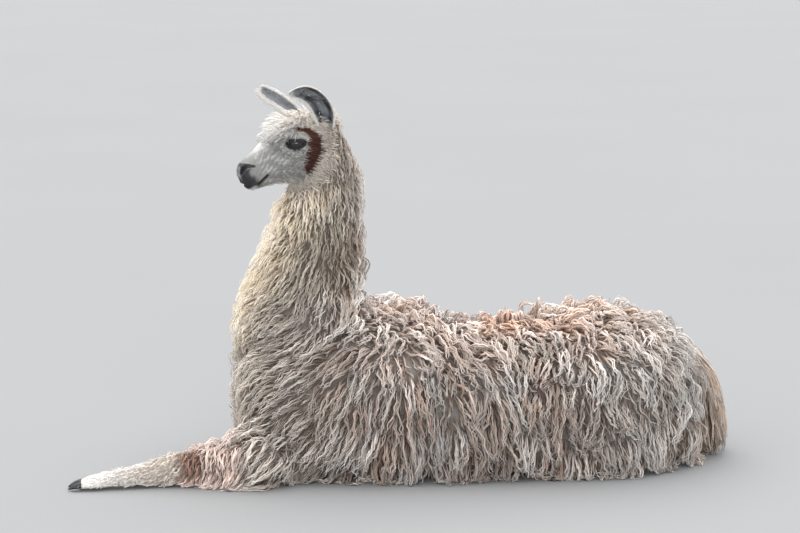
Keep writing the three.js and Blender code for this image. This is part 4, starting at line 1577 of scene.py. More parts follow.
def chart_body(points: Array) -> Array:
    """The skin's own unwrap: distance along the trunk, neck, leg or tail, and the angle round it."""
    x, y, z = points.T
    trunk = np.column_stack([x, np.arctan2(y, z - 0.15)])
    axis_x = np.interp(z, [0.2, 0.47, 0.69, 0.9], [-0.29, -0.262, -0.213, -0.2])
    neck = np.column_stack([z, np.arctan2(y, x - axis_x)])
    return np.where(on_neck(points)[:, None], neck, trunk)


def chart_head(points: Array) -> Array:
    """The skin's own unwrap of the head: distance along it and the angle round it."""
    local = world_to_head(points)
    return np.column_stack([local[:, 0], np.arctan2(local[:, 1], local[:, 2] + 5)])


# Side of a tuft's patch on the map OFBake, and the three corners of a strand.
PATCH = 0.003
THIRDS = np.array([math.pi / 2, math.pi * 7 / 6, math.pi * 11 / 6])


def spin_mesh(name: str, strands: Strands, chart: Array, tints: Array) -> bpy.types.Mesh:
    """Makes one mesh of solid three-sided strands that taper to a point.

    Args:
        name: The mesh's name.
        strands: The strands.
        chart: Each strand's place on the unwrap of the skin.
        tints: Each strand's colour.

    Returns:
        The mesh, with its colours, lengthwise places and both of its maps.
    """
    total, rings = strands.lines.shape[0], strands.lines.shape[1] - 1
    share = np.linspace(0, 1, rings + 1)
    tangent = unit(np.gradient(strands.lines, axis=1))
    side = unit(np.cross(tangent, strands.up))
    over = np.cross(side, tangent)
    taper = (0.62 + 0.38 * smooth(0, 0.3, share)) * np.sqrt(np.maximum(1 - share**2.6, 0))
    radius = strands.radius[:, None] * taper
    ring = strands.lines[:, :-1, None] + radius[:, :-1, None, None] * (
        side[:, :-1, None] * np.cos(THIRDS)[None, None, :, None]
        + over[:, :-1, None] * 0.72 * np.sin(THIRDS)[None, None, :, None]
    )
    per = rings * 3 + 1
    points = np.concatenate([ring.reshape(total, -1, 3), strands.lines[:, -1:]], axis=1)
    points[..., 2] = np.maximum(points[..., 2], LOWEST)
    quads, quad_maps = [], []
    for i in range(rings - 1):
        for j in range(3):
            k = (j + 1) % 3
            quads.append([i * 3 + j, i * 3 + k, i * 3 + 3 + k, i * 3 + 3 + j])
            quad_maps.append([(j, i), (j + 1, i), (j + 1, i + 1), (j, i + 1)])
    last = (rings - 1) * 3
    tips = [[last + j, last + (j + 1) % 3, per - 1] for j in range(3)] + [[2, 1, 0]]
    tip_maps = [[(j, rings - 1), (j + 1, rings - 1), (j + 0.5, rings)] for j in range(3)]
    tip_maps.append([(2, 0), (1, 0), (0, 0)])
    shifts = np.arange(total)[:, None, None] * per
    quad_faces = (np.array(quads)[None] + shifts).reshape(-1, 4)
    tip_faces = (np.array(tips)[None] + shifts).reshape(-1, 3)
    mesh = Surface(points.reshape(-1, 3), [quad_faces, tip_faces]).to_mesh(name)
    scale = np.array([1 / 3, 1 / rings])
    quad_grid = np.array(quad_maps, float).reshape(-1, 2) * scale
    tip_grid = np.array(tip_maps, float).reshape(-1, 2) * scale
    low, high = chart.min(axis=0), chart.max(axis=0)
    spot = 0.01 + 0.97 * (chart - low) / np.maximum(high - low, 1e-6)
    write_map(mesh, "OFBake", [spot[:, None] + grid[None] * PATCH for grid in (quad_grid, tip_grid)])
    stretch = np.stack([np.ones(total), strands.length / 0.01], axis=1)[:, None]
    offset = (strands.lot[:, None] * np.array([[37.0, 91.0]]))[:, None]
    write_map(mesh, "Strand", [grid[None] * stretch + offset for grid in (quad_grid, tip_grid)])
    write_tint(mesh, np.repeat(tints, per, axis=0))
    write_points(mesh, "along", "FLOAT", np.tile(np.append(np.repeat(share[:-1], 3), 1.0), total))
    write_points(mesh, "lot", "FLOAT", np.repeat(strands.lot, per))
    shade = np.concatenate([np.repeat(strands.shade[:, :-1], 3, axis=1), strands.shade[:, -1:]], axis=1)
    write_points(mesh, "shade", "FLOAT", shade.ravel())
    return mesh


def write_map(mesh: bpy.types.Mesh, name: str, parts: list[Array]) -> None:
    """Stores a flat map whose corners come in the order of the mesh's faces."""
    layer = mesh.uv_layers.new(name=name)
    values = np.concatenate([part.reshape(-1, 2) for part in parts]).astype(np.float32)
    layer.uv.foreach_set("vector", values.ravel())


# ---- Finishes -------------------------------------------------------------------------------------
Socket = bpy.types.NodeSocket


class Bench:
    """A node tree being wired."""

    def __init__(self, tree: bpy.types.NodeTree) -> None:
        """Starts on a tree."""
        self.tree = tree

    def add(self, kind: str, inputs: dict | None = None, **settings: object) -> bpy.types.Node:
        """Adds a node.

        Args:
            kind: The node's type.
            inputs: What its inputs take, by name or number; see feed.
            settings: Its options.

        Returns:
            The node.
        """
        node = self.tree.nodes.new(kind)
        for name, value in settings.items():
            setattr(node, name, value)
        self.feed(node, inputs or {})
        return node

    def feed(self, node: bpy.types.Node, inputs: dict) -> None:
        """Gives inputs of a node their values: another socket, a number or a colour."""
        for key, value in inputs.items():
            socket = node.inputs[key]
            if isinstance(value, Socket):
                self.tree.links.new(value, socket)
            else:
                socket.default_value = (*value, 1.0) if socket.type == "RGBA" else value

    def span(self, source: Socket, *ends: float) -> Socket:
        """Maps a value from one range to another: from low, from high, to low, to high."""
        inputs = dict(enumerate((source, *ends)))
        return self.add("ShaderNodeMapRange", inputs, interpolation_type="SMOOTHSTEP").outputs[0]

    def sum(self, kind: str, first: Socket, second: Socket | float = 0.0) -> Socket:
        """One arithmetic step between a value and another value or number."""
        return self.add("ShaderNodeMath", {0: first, 1: second}, operation=kind).outputs[0]

    def blend(self, share: object, first: object, second: object, kind: str = "MIX") -> Socket:
        """Mixes two colours."""
        inputs = {0: share, 6: first, 7: second}
        return self.add("ShaderNodeMix", inputs, data_type="RGBA", blend_type=kind).outputs[2]

    def noise(self, where: Socket, scale: Socket | float, detail: float = 2.0, **settings: object) -> Socket:
        """Uneven values over space."""
        inputs = {"Vector": where, "Scale": scale, "Detail": detail}
        return self.add("ShaderNodeTexNoise", inputs, **settings).outputs[0]

    def squeezed(self, where: Socket, scale: Place) -> Socket:
        """Places drawn out or squeezed along their axes."""
        return self.add("ShaderNodeMapping", {"Vector": where, "Scale": scale}).outputs[0]

    def relief(self, height: Socket, strength: float, distance: float) -> Socket:
        """A surface that rises and falls by a height value."""
        inputs = {"Height": height, "Strength": strength, "Distance": distance}
        return self.add("ShaderNodeBump", inputs).outputs["Normal"]

    def stored(self, name: str, output: str = "Fac") -> Socket:
        """A value stored on the mesh."""
        return self.add("ShaderNodeAttribute", attribute_name=name).outputs[output]

    def object_place(self) -> Socket:
        """The place on the object, in its own metres."""
        return self.add("ShaderNodeTexCoord").outputs["Object"]


def new_group(name: str, **inputs: str) -> tuple[bpy.types.NodeTree, Bench, dict, bpy.types.Node]:
    """Starts a shader node group that gives a colour and a height.

    Args:
        name: The group's name.
        inputs: The kind of each input, by its label with underscores for spaces.

    Returns:
        The group, its bench, the sockets of its inputs, and its output node.
    """
    tree = bpy.data.node_groups.new(name, "ShaderNodeTree")
    for way, sockets in (("INPUT", inputs), ("OUTPUT", {"Color": "Color", "Height": "Float"})):
        for label, kind in sockets.items():
            kind = f"NodeSocket{kind}"
            tree.interface.new_socket(name=label.replace("_", " "), in_out=way, socket_type=kind)
    bench = Bench(tree)
    return tree, bench, bench.add("NodeGroupInput").outputs, bench.add("NodeGroupOutput")


def wool_group() -> bpy.types.NodeTree:
    """Fine fibres along a strand, with painted shade that darkens and warms it towards its root and deep in
    the coat, and paler at its tip.
    """
    tree, bench, given, result = new_group(
        "wool_fibre",
        Tint="Color",
        Along="Float",
        Lot="Float",
        Depth="Float",
        Place="Vector",
        Root_Shade="Float",
        Tip_Pale="Float",
    )
    fibre = bench.noise(bench.squeezed(given["Place"], (9.0, 0.55, 1.0)), 1.6, 3.0, noise_dimensions="2D")
    streak = bench.span(fibre, 0.25, 0.75, 0.70, 1.16)
    luck = bench.span(given["Lot"], 0.15, 0.85, 0.60, 1.22)
    # Painted shade: darker and warmer towards the root and where the strand lies deep in the coat, as if
    # shadowed between locks.
    deep = bench.sum("MAXIMUM", bench.span(given["Along"], 0.0, 0.5, 0.7, 0.0), given["Depth"])
    deep = bench.sum("MULTIPLY", deep, given["Root Shade"])
    toned = bench.blend(1.0, given["Tint"], bench.sum("MULTIPLY", streak, luck), "MULTIPLY")
    rooted = bench.blend(deep, toned, bench.blend(1.0, toned, (0.34, 0.26, 0.20), "MULTIPLY"))
    bright = bench.add("ShaderNodeRGBToBW", {0: given["Tint"]}).outputs[0]
    tip = bench.sum("MULTIPLY", bench.span(given["Along"], 0.55, 1.0, 0.0, 1.0), given["Tip Pale"])
    tip = bench.sum("MULTIPLY", tip, bench.span(bright, 0.10, 0.38, 0.0, 1.0))
    light = bench.blend(0.5, given["Tint"], (0.86, 0.83, 0.79))
    bench.feed(result, {"Color": bench.blend(tip, rooted, light), "Height": fibre})
    return tree


def fur_group() -> bpy.types.NodeTree:
    """Short flat hair: small uneven flecks that change the colour a little and raise the surface."""
    tree, bench, given, result = new_group("short_fur", Tint="Color", Fineness="Float")
    fleck = bench.noise(bench.squeezed(bench.object_place(), (0.45, 1.0, 1.0)), given["Fineness"], 4.0)
    gain = bench.span(fleck, 0.3, 0.7, 0.82, 1.08)
    bench.feed(result, {"Color": bench.blend(1.0, given["Tint"], gain, "MULTIPLY"), "Height": fleck})
    return tree


def new_material(name: str) -> tuple[bpy.types.Material, Bench, bpy.types.Node]:
    """Starts a material with one main shader."""
    material = bpy.data.materials.new(name)
    material.use_nodes = True
    material.node_tree.nodes.clear()
    bench = Bench(material.node_tree)
    shader = bench.add("ShaderNodeBsdfPrincipled")
    bench.add("ShaderNodeOutputMaterial", {"Surface": shader.outputs[0]})
    return material, bench, shader


@dataclass(frozen=True)
class WoolFinish:
    """The fleece's locks."""

    name: str
    group: bpy.types.NodeTree
    # How much painted shade darkens a strand towards its root and deep in the coat.
    root_shade: float = 0.95
    tip_pale: float = 0.7
    roughness: float = 0.62
    sheen: float = 0.30
    relief: float = 0.5 * MM

    def build(self) -> bpy.types.Material:
        """Makes the material."""
        material, bench, shader = new_material(self.name)
        inputs = {
            "Root Shade": self.root_shade,
            "Tip Pale": self.tip_pale,
            "Tint": bench.stored("tint", "Color"),
            "Along": bench.stored("along"),
            "Lot": bench.stored("lot"),
            "Depth": bench.stored("shade"),
            "Place": bench.add("ShaderNodeUVMap", uv_map="Strand").outputs["UV"],
        }
        fibre = bench.add("ShaderNodeGroup", inputs, node_tree=self.group).outputs
        look = {
            "Base Color": fibre["Color"],
            "Normal": bench.relief(fibre["Height"], 0.7, self.relief),
            "Roughness": self.roughness,
            "Specular IOR Level": 0.28,
            "Sheen Weight": self.sheen,
            "Sheen Roughness": 0.5,
        }
        bench.feed(shader, look)
        return material


@dataclass(frozen=True)
class HideFinish:
    """The skin with its short flat hair."""

    name: str
    group: bpy.types.NodeTree
    fineness: float = 420.0
    roughness: float = 0.6
    sheen: float = 0.06
    relief: float = 0.5 * MM

    def build(self) -> bpy.types.Material:
        """Makes the material."""
        material, bench, shader = new_material(self.name)
        inputs = {"Fineness": self.fineness, "Tint": bench.stored("tint", "Color")}
        fur = bench.add("ShaderNodeGroup", inputs, node_tree=self.group).outputs
        look = {
            "Base Color": fur["Color"],
            "Normal": bench.relief(fur["Height"], 0.6, self.relief),
            "Roughness": self.roughness,
            "Specular IOR Level": 0.3,
            "Sheen Weight": self.sheen,
        }
        bench.feed(shader, look)
        return material


@dataclass(frozen=True)
class EyeFinish:
    """A dark brown eye with a wide level pupil under a clear wet surface."""

    name: str = "eye_finish"
    iris: str = "120c08"
    iris_light: Place = (0.022, 0.013, 0.007)
    pupil: str = "060507"
    white: str = "1f1613"
    pupil_half: tuple[float, float] = (6.0, 3.0)
    iris_radius: float = 11.3

    def build(self) -> bpy.types.Material:
        """Makes the material."""
        material, bench, shader = new_material(self.name)
        gaze = bench.stored("gaze", "Vector")
        parts = bench.add("ShaderNodeSeparateXYZ", {0: gaze}).outputs
        squares = [bench.sum("POWER", bench.sum("ABSOLUTE", part), 2.0) for part in parts[:2]]
        shares = [bench.sum("DIVIDE", part, half**2) for part, half in zip(squares, self.pupil_half)]
        reach = bench.sum("SQRT", bench.sum("ADD", *squares))
        fleck = bench.span(bench.noise(gaze, 0.9, 4.0), 0.3, 0.7, 0.0, 0.6)
        iris = bench.blend(fleck, linear(self.iris), self.iris_light)
        slit = bench.span(bench.sum("ADD", *shares), 0.8, 1.3, 1.0, 0.0)
        inner = bench.blend(slit, iris, linear(self.pupil))
        ball = bench.blend(bench.span(reach, 10.5, 12.5, 0.0, 1.0), inner, linear(self.white))
        ring = bench.sum("ABSOLUTE", bench.sum("SUBTRACT", reach, self.iris_radius))
        ring = bench.span(ring, 0.3, 1.4, 0.8, 0.0)
        look = {
            "Base Color": bench.blend(ring, ball, linear(self.pupil)),
            "Roughness": 0.12,
            "Specular IOR Level": 0.1,
            "Coat Weight": 1.0,
            "Coat Roughness": 0.03,
            "Coat IOR": 1.6,
        }
        bench.feed(shader, look)
        return material


@dataclass(frozen=True)
class NailFinish:
    """Dark horn with growth lines, scuffed paler in places."""

    name: str = "nail_finish"
    horn: Place = (0.012, 0.010, 0.010)
    scuffed: Place = (0.10, 0.085, 0.075)

    def build(self) -> bpy.types.Material:
        """Makes the material."""
        material, bench, shader = new_material(self.name)
        where = bench.object_place()
        inputs = {"Vector": where, "Scale": 160.0, "Distortion": 2.0}
        lines = bench.add("ShaderNodeTexWave", inputs, wave_type="BANDS", bands_direction="X")
        share = bench.span(bench.noise(where, 300.0), 0.5, 0.75, 0.0, 0.5)
        look = {
            "Base Color": bench.blend(share, self.horn, self.scuffed),
            "Normal": bench.relief(lines.outputs["Fac"], 0.4, 0.3 * MM),
            "Roughness": 0.42,
        }
        bench.feed(shader, look)
        return material


@dataclass(frozen=True)
class FloorFinish:
    """A plain pale studio floor."""

    name: str = "floor_finish"
    dark: Place = (0.238, 0.238, 0.235)
    light: Place = (0.243, 0.243, 0.240)

    def build(self) -> bpy.types.Material:
        """Makes the material."""
        material, bench, shader = new_material(self.name)
        share = bench.span(bench.noise(bench.object_place(), 0.6), 0.3, 0.7, 0.0, 1.0)
        bench.feed(shader, {"Base Color": bench.blend(share, self.dark, self.light), "Roughness": 0.9})
        return material


# ---- The animal's pieces ----------------------------------------------------------------------------
FLESH = (
    "trunk", "neck", "head", "lower_jaw", "topknot", "ear_left", "ear_right", "tail", "forearm_left",
    "fore_cannon_left", "fore_foot_left", "forearm_right", "fore_foot_right", "thigh_left", "shank_left",
    "hind_foot_left", "thigh_right", "shank_right", "hind_foot_right",
)


# Added to the gaze of points on an eyeball's rear half, so that they take the colour of its white.
BEHIND = 30.0


@dataclass
class Eyes:
    """Two eyeballs with their lashes."""

    rings: int = 48
    sides: int = 72
    radius: float = EYE_RADIUS - 0.2
    cornea: float = 0.9
    lashes: int = 34

    def ball(self, side: int) -> tuple[Surface, Array]:
        """One eyeball and each point's place on its front.

        Args:
            side: 1 for the left eye, -1 for the right.

        Returns:
            The closed ball in world metres, and its places across the gaze in millimetres.
        """
        middle, outward, forward, upward = eye_frame(side)
        polar = np.linspace(0, math.pi, self.rings + 1)[1:-1]
        turn = np.linspace(0, 2 * math.pi, self.sides, endpoint=False)
        bulge = self.radius + self.cornea * np.exp(-((polar / 0.42) ** 4))
        over = np.sin(polar)[:, None] * bulge[:, None]
        depth = np.repeat((np.cos(polar) * bulge)[:, None], self.sides, 1)
        local = np.stack([over * np.cos(turn), over * np.sin(turn), depth], axis=-1).reshape(-1, 3)
        ends = np.array([[0, 0, self.radius + self.cornea], [0, 0, -self.radius]])
        local = np.vstack([local, ends])
        points = middle + local @ np.stack([forward, upward, outward])
        gaze = np.column_stack([local[:, :2], np.where(local[:, 2] > 0, 0.0, BEHIND)])
        gaze[:, 0] += gaze[:, 2]
        return Surface(head_to_world(points), tube_faces(self.rings - 1, self.sides, inside_out=True)), gaze

    def lash_strands(self, side: int, rng: np.random.Generator) -> Strands:
        """The upper and lower lashes of one eye."""
        _, outward, forward, upward = eye_frame(side)
        upper = np.linspace(0.10, 0.94, self.lashes) * math.pi
        lower = -np.linspace(0.2, 0.8, self.lashes // 2) * math.pi
        angle = np.concatenate([upper, lower]) + rng.normal(0, 0.03, self.lashes + self.lashes // 2)
        length = np.where(angle > 0, 5.5, 3.0) * rng.uniform(0.7, 1.15, len(angle))
        root = round_eye(side, angle, lid_edge(angle) + 0.9, EYE_RADIUS + 1.2)
        droop = np.where(angle > 0, -0.20, -0.60)
        aim = unit(outward * 0.8 + np.outer(droop, upward) + np.outer(0.5 * np.cos(angle), forward))
        share = np.linspace(0, 1, 5)
        bow = np.outer(share**2 * 0.25, upward)
        lines = root[:, None] + length[:, None, None] * (aim[:, None] * share[None, :, None] + bow[None])
        lines = head_to_world(lines.reshape(-1, 3)).reshape(len(angle), 5, 3)
        up = np.repeat(unit(upward @ HEAD_TURN.T)[None, None], len(angle), axis=0)
        up = np.repeat(up, 5, axis=1)
        radius = np.full(len(angle), 0.26 * MM)
        lot, shade = rng.uniform(0, 0.5, len(angle)), np.zeros((len(angle), 5))
        return Strands(lines, up, radius, length * MM, lines[:, 0], lot, shade)

    def build(self, eye: bpy.types.Material, hair: bpy.types.Material, rng: np.random.Generator) -> None:
        """Makes both eyes and their lashes."""
        for side, name in ((1, "left"), (-1, "right")):
            surface, gaze = self.ball(side)
            mesh = surface.to_mesh(f"eyeball_{name}")
            write_points(mesh, "gaze", "FLOAT_VECTOR", gaze)
            place(mesh, f"eyeball_{name}", "eye", eye, (f"eye_{name}",))
            strands = self.lash_strands(side, rng)
            tints = painted(Shade.LIP, len(strands.radius))
            lashes = spin_mesh(f"lashes_{name}", strands, chart_head(strands.roots), tints)
            place(lashes, f"lashes_{name}", "face_hair", hair)


@dataclass
class Nails:
    """The nails of the stretched forefoot as curved claws of horn; the folded feet keep theirs."""

    length: float = 34.0
    half: float = 9.4
    high: float = 10.4
    blunt: float = 0.15
    rings: int = 18
    sides: int = 20

    def claw(self, hand: int) -> Surface:
        """One curved nail with a blunt ridge on top, in world metres."""
        share = np.linspace(0, 1, self.rings)
        line = HEEL_AT + np.outer(68 + share * self.length, FOOT_AHEAD)
        line = line + np.outer(hand * (15 - 4 * share), FOOT_ACROSS)
        line[:, 2] = 13.5 - 9.2 * share**1.7
        half = self.half * np.sqrt(np.maximum(1 - share**2.4, 0.0)) * (1 - 0.28 * share) + self.blunt
        high = self.high * np.sqrt(np.maximum(1 - share**2.2, 0.0)) * (1 - 0.3 * share) + self.blunt
        turn = np.linspace(0, 2 * math.pi, self.sides, endpoint=False)
        ridge = np.where(np.sin(turn) > 0, np.sin(turn), np.sin(turn) * 0.55)
        ring = line[:, None] + FOOT_ACROSS * (half[:, None] * np.cos(turn))[..., None]
        ring = ring + UPWARD * (high[:, None] * ridge)[..., None]
        ring[..., 2] = np.maximum(ring[..., 2], 0.4)
        flat = np.vstack([ring.reshape(-1, 3), line[0], line[-1]])
        return Surface(flat * MM, tube_faces(self.rings, self.sides))

    def build(self, horn: bpy.types.Material, nodes: dict[str, bpy.types.Object]) -> None:
        """Makes the two visible nails and dresses the hidden ones."""
        for number, hand in ((1, 1), (2, -1)):
            name = f"claw_{number}"
            place(self.claw(hand).to_mesh(name), name, "nail", horn, (f"fore_nail_left_{number}",))
        for name, node in nodes.items():
            if "nail" in name and "fore_nail_left" not in name:
                node.data.materials.clear()
                node.data.materials.append(horn)


@dataclass(frozen=True)
class Plan:
    """How tufts are grown: segments of a line, strands of a tuft, and how pale they come out."""

    steps: int
    strands: int
    finest: float = 0.5
    least_lot: float = 0.0
    lot_range: float = 1.0


# Hairs of one ear, and the share of them along its edges.
EAR_HAIRS = 3600
EDGE_SHARE = 0.58
CANNON_PLAN = Plan(4, 4, 0.6, 0.3, 0.7)
FACE_PLAN = Plan(3, 3, 0.6, 0.42, 0.5)
TOPKNOT_PLAN = Plan(5, 4, 0.5, 0.5, 0.5)


@dataclass
class Coat:
    """The whole coat: fleece, tail, face hair, topknot and ear hair."""

    hide: Hide
    markings: Markings
    wool: bpy.types.Material
    hair: bpy.types.Material
    down: bpy.types.Material
    per_lock: int = 3
    steps: int = 8
    close: float = 0.98
    thick: float = 1.12
    frizz_stray: float = 1.7
    frizz_thick: float = 0.34
    under_close: float = 1.14
    under_thick: float = 2.4
    under_shade: float = 0.55
    limit: int = 190_000
    shin: float = -0.605
    brow: float = 0.93
    back: float = 0.335
    share: float = 1.0

    def build(self) -> None:
        """Grows every part of the coat."""
        self.share = 1.0
        for number, part in enumerate((self.fleece, self.tail, self.face, self.topknot, self.ears)):
            part(np.random.default_rng(SEED + number))

    def spacing(self, lie: Lie) -> Array:
        """How far apart roots stand on each triangle of the hide, in metres."""
        return lie.values(self.hide.middles)["spacing"] * MM / math.sqrt(self.share)

    def on_tail(self, points: Array) -> Array:
        """Whether places are on the tail."""
        x, y, z = points.T
        return (x > 0.715) & (np.abs(y) < 0.085) & (z < 0.345)

    def tufts(self, roots: Roots, lie: Lie, rng: np.random.Generator, plan: Plan) -> Strands:
        """Short tufts grown on some roots by a plan, parted into strands."""
        strands = comb(raise_tufts(roots, lie, plan.steps, rng), plan.strands, rng, plan.finest)
        strands.lot = plan.least_lot + plan.lot_range * strands.lot
        return strands

    def piece(self, name: str, strands: Strands, chart: Array, slot: str, finish: bpy.types.Material) -> None:
        """Makes one piece of coat, or several where it has too many faces for one."""
        rings = strands.lines.shape[1] - 1
        if not len(strands.radius):
            return
        most = self.limit // (6 * (rings - 1) + 4)
        count = max(1, math.ceil(len(strands.radius) / most))
        order = np.argsort(chart[:, 0])
        for number, chosen in enumerate(np.array_split(order, count)):
            label = name if count == 1 else f"{name}_{number + 1}"
            part = strands.only(chosen)
            tints = self.markings.colours(part.roots)
            if finish is self.wool:
                tints = layered(tints, (Shade.WHITE, 0.45 * smooth(0.60, 0.85, part.lot)))
            place(spin_mesh(label, part, chart[chosen], tints), label, slot, finish)

    def fleece(self, rng: np.random.Generator) -> None:
        """The locks of the trunk, neck and legs."""
        middles = self.hide.middles
        lie = Lie(BODY_STATIONS)
        facing = self.hide.point_normals[self.hide.corners].mean(axis=1)
        chosen = (before_cheek(middles) < 2) & ~self.on_tail(middles)
        chosen &= ~((middles[:, 2] < 0.012) & (facing[:, 2] < -0.5))
        chosen &= middles[:, 2] < self.brow
        self.cannon(lie, chosen & (middles[:, 0] < self.shin), rng)
        chosen &= middles[:, 0] >= self.shin
        roots = self.hide.sow(chosen, self.spacing(lie) * self.close, rng)
        LOG.info("fleece: %d locks", len(roots.points))
        guides = lay_locks(self.hide, roots, lie, self.steps, rng)
        lots = gather_mats(self.hide, roots, guides, lie, chosen, rng)
        strands = comb(guides, self.per_lock, rng, lots=lots)
        strands.radius *= self.thick
        frizz = comb(guides, 1, rng, loose=self.frizz_stray, lots=lots)
        frizz.radius *= self.frizz_thick
        strands = strands.with_more(frizz)
        shade_deep(strands, self.hide, lie)
        chart = chart_body(strands.roots)
        is_neck = on_neck(strands.roots)
        x, y, z = strands.roots.T
        is_leg = (x < -0.43) & (z < 0.15) & (y < -0.10) & ~is_neck
        is_back = (z > self.back) & ~is_neck & ~is_leg
        is_flank = ~is_neck & ~is_leg & ~is_back
        left = y < 0
        # Painted light: the wool on the throat side of the neck is made paler and its painted depth shade
        # lessened, as on the side where light falls.
        plush = smooth(-0.05, 0.05, neck_front(strands.roots)) * is_neck
        strands.lot += (1 - strands.lot) * 0.45 * plush
        strands.shade *= (1 - 0.35 * plush)[:, None]
        self.under_wool(lie, chosen, rng)
        strands.lot[is_leg] = 0.45 + 0.55 * strands.lot[is_leg]
        for name, slot, inside in (
            ("fleece_neck_left", "neck_wool", is_neck & left),
            ("fleece_neck_right", "neck_wool", is_neck & ~left),
            ("fleece_leg", "leg_wool", is_leg),
            ("fleece_back", "fleece", is_back),
            ("fleece_flank_left", "fleece", is_flank & left),
            ("fleece_flank_right", "fleece", is_flank & ~left),
        ):
            finish = self.down if name == "fleece_leg" else self.wool
            self.piece(name, strands.only(inside), chart[inside], slot, finish)

    def cannon(self, lie: Lie, chosen: Array, rng: np.random.Generator) -> None:
        """Short curly hair of the stretched foreleg below the knee, and of its foot."""
        roots = self.hide.sow(chosen, self.spacing(lie) * 0.8, rng)
        strands = self.tufts(roots, lie, rng, CANNON_PLAN)
        self.piece("cannon_hair", strands, chart_body(strands.roots), "leg_wool", self.down)

    def under_wool(self, lie: Lie, chosen: Array, rng: np.random.Generator) -> None:
        """Short broad tufts in the shade under the locks, darkened with painted shade, so that no gap shows
        the bare skin.
        """
        spacing = self.spacing(lie) * (1 - 0.36 * smooth(-150, -30, before_cheek(self.hide.middles)))
        roots = self.hide.sow(chosen, spacing * self.under_close, rng)
        guides = raise_tufts(roots, lie, 4, rng)
        size = np.clip(guides.sizes["lift"] * MM * 1.5 / guides.length, 0.2, 0.9)
        guides.lines = guides.lines[:, :1] + (guides.lines - guides.lines[:, :1]) * size[:, None, None]
        guides.length *= size
        strands = comb(guides, 1, rng)
        strands.radius *= self.under_thick
        shade_deep(strands, self.hide, lie)
        # Painted shade: every point of these tufts is darkened at least this much.
        strands.shade = np.maximum(strands.shade, self.under_shade)
        chart = chart_body(strands.roots)
        for name, side in (("left", -1), ("right", 1)):
            inside = strands.roots[:, 1] * side > 0
            self.piece(f"under_wool_{name}", strands.only(inside), chart[inside], "fleece", self.wool)

    def tail(self, rng: np.random.Generator) -> None:
        """The long straight hair of the tail."""
        middles = self.hide.middles
        lie = Lie(TAIL_STATIONS)
        roots = self.hide.sow(self.on_tail(middles) & (middles[:, 2] > 0.02), self.spacing(lie), rng)
        strands = comb(lay_locks(self.hide, roots, lie, 6, rng), 5, rng)
        self.piece("tail_hair", strands, chart_body(strands.roots), "tail_hair", self.down)

    def face(self, rng: np.random.Generator) -> None:
        """Short hair of the face, longer and curlier on the cheek and brow."""
        middles = self.hide.middles
        lie = Lie(HEAD_STATIONS, on_head=True)
        bare = self.bare(world_to_head(middles))
        chosen = (before_cheek(middles) > -14) & (middles[:, 2] > 0.70) & ~bare
        strands = self.tufts(self.hide.sow(chosen, self.spacing(lie), rng), lie, rng, FACE_PLAN)
        self.piece("face_hair", strands, chart_head(strands.roots), "face_hair", self.hair)

    def bare(self, local: Array) -> Array:
        """Places of the head without hair: eyes, lids, nostrils, lips and the ears' shells."""
        mirrored = folded(local)
        eye = np.linalg.norm(mirrored - EYE_AT, axis=1) < EYE_RADIUS + 4.0
        across, over, depth = about_eye(mirrored, 1)
        past = np.hypot(across, over) - lid_edge(np.arctan2(over, across))
        lids = (past < np.where(over > 0, 5.5, 3.5)) & (depth > 0)
        nostril = nostril_gap(mirrored) < 1.5
        gap = mouth_gap(local)
        lips = (np.abs(gap) < 3.2) & (local[:, 0] > 162)
        tip = (local[:, 0] > 218) & (np.abs(gap) < 26)
        flat = (local[:, 0] > 166 + 12 * wander(local * MM, 0.02, 14)) & (local[:, 2] > -44)
        cup = np.linalg.norm(mirrored - np.array([-24.0, 62.0, 46.0]), axis=1) < 21
        return (eye & lids) | nostril | lips | tip | flat | cup

    def topknot(self, rng: np.random.Generator) -> None:
        """The tuft between the ears and the wool of the poll."""
        u, w, v = world_to_head(self.hide.middles).T
        aside = np.abs(w)
        lie = Lie(TOPKNOT_STATIONS, on_head=True)
        crown = np.interp(u, [-70, -40, 20, 80, 118, 132], [20, 34, 46, 48, 50, 56])
        chosen = (v > crown) & (u < 130) & (u > -75) & (self.hide.middles[:, 2] > 0.84)
        chosen &= (aside < 40) | (u > 46)
        chosen &= (aside < 24) | (u > 10) | (u < -52)
        chosen &= (aside < 40) | (u < 58) | (v > 62)
        strands = self.tufts(self.hide.sow(chosen, self.spacing(lie), rng), lie, rng, TOPKNOT_PLAN)
        self.piece("topknot_locks", strands, chart_head(strands.roots), "neck_wool", self.down)

    def ears(self, rng: np.random.Generator) -> None:
        """Fine hair on both faces of the ears and a fringe along their edges."""
        for ear, side in ((LEFT_EAR, "left"), (RIGHT_EAR, "right")):
            name = f"ear_{side}_hair"
            strands, tints = self.ear_strands(ear, rng)
            place(spin_mesh(name, strands, chart_head(strands.roots), tints), name, "ear_hair", self.hair)

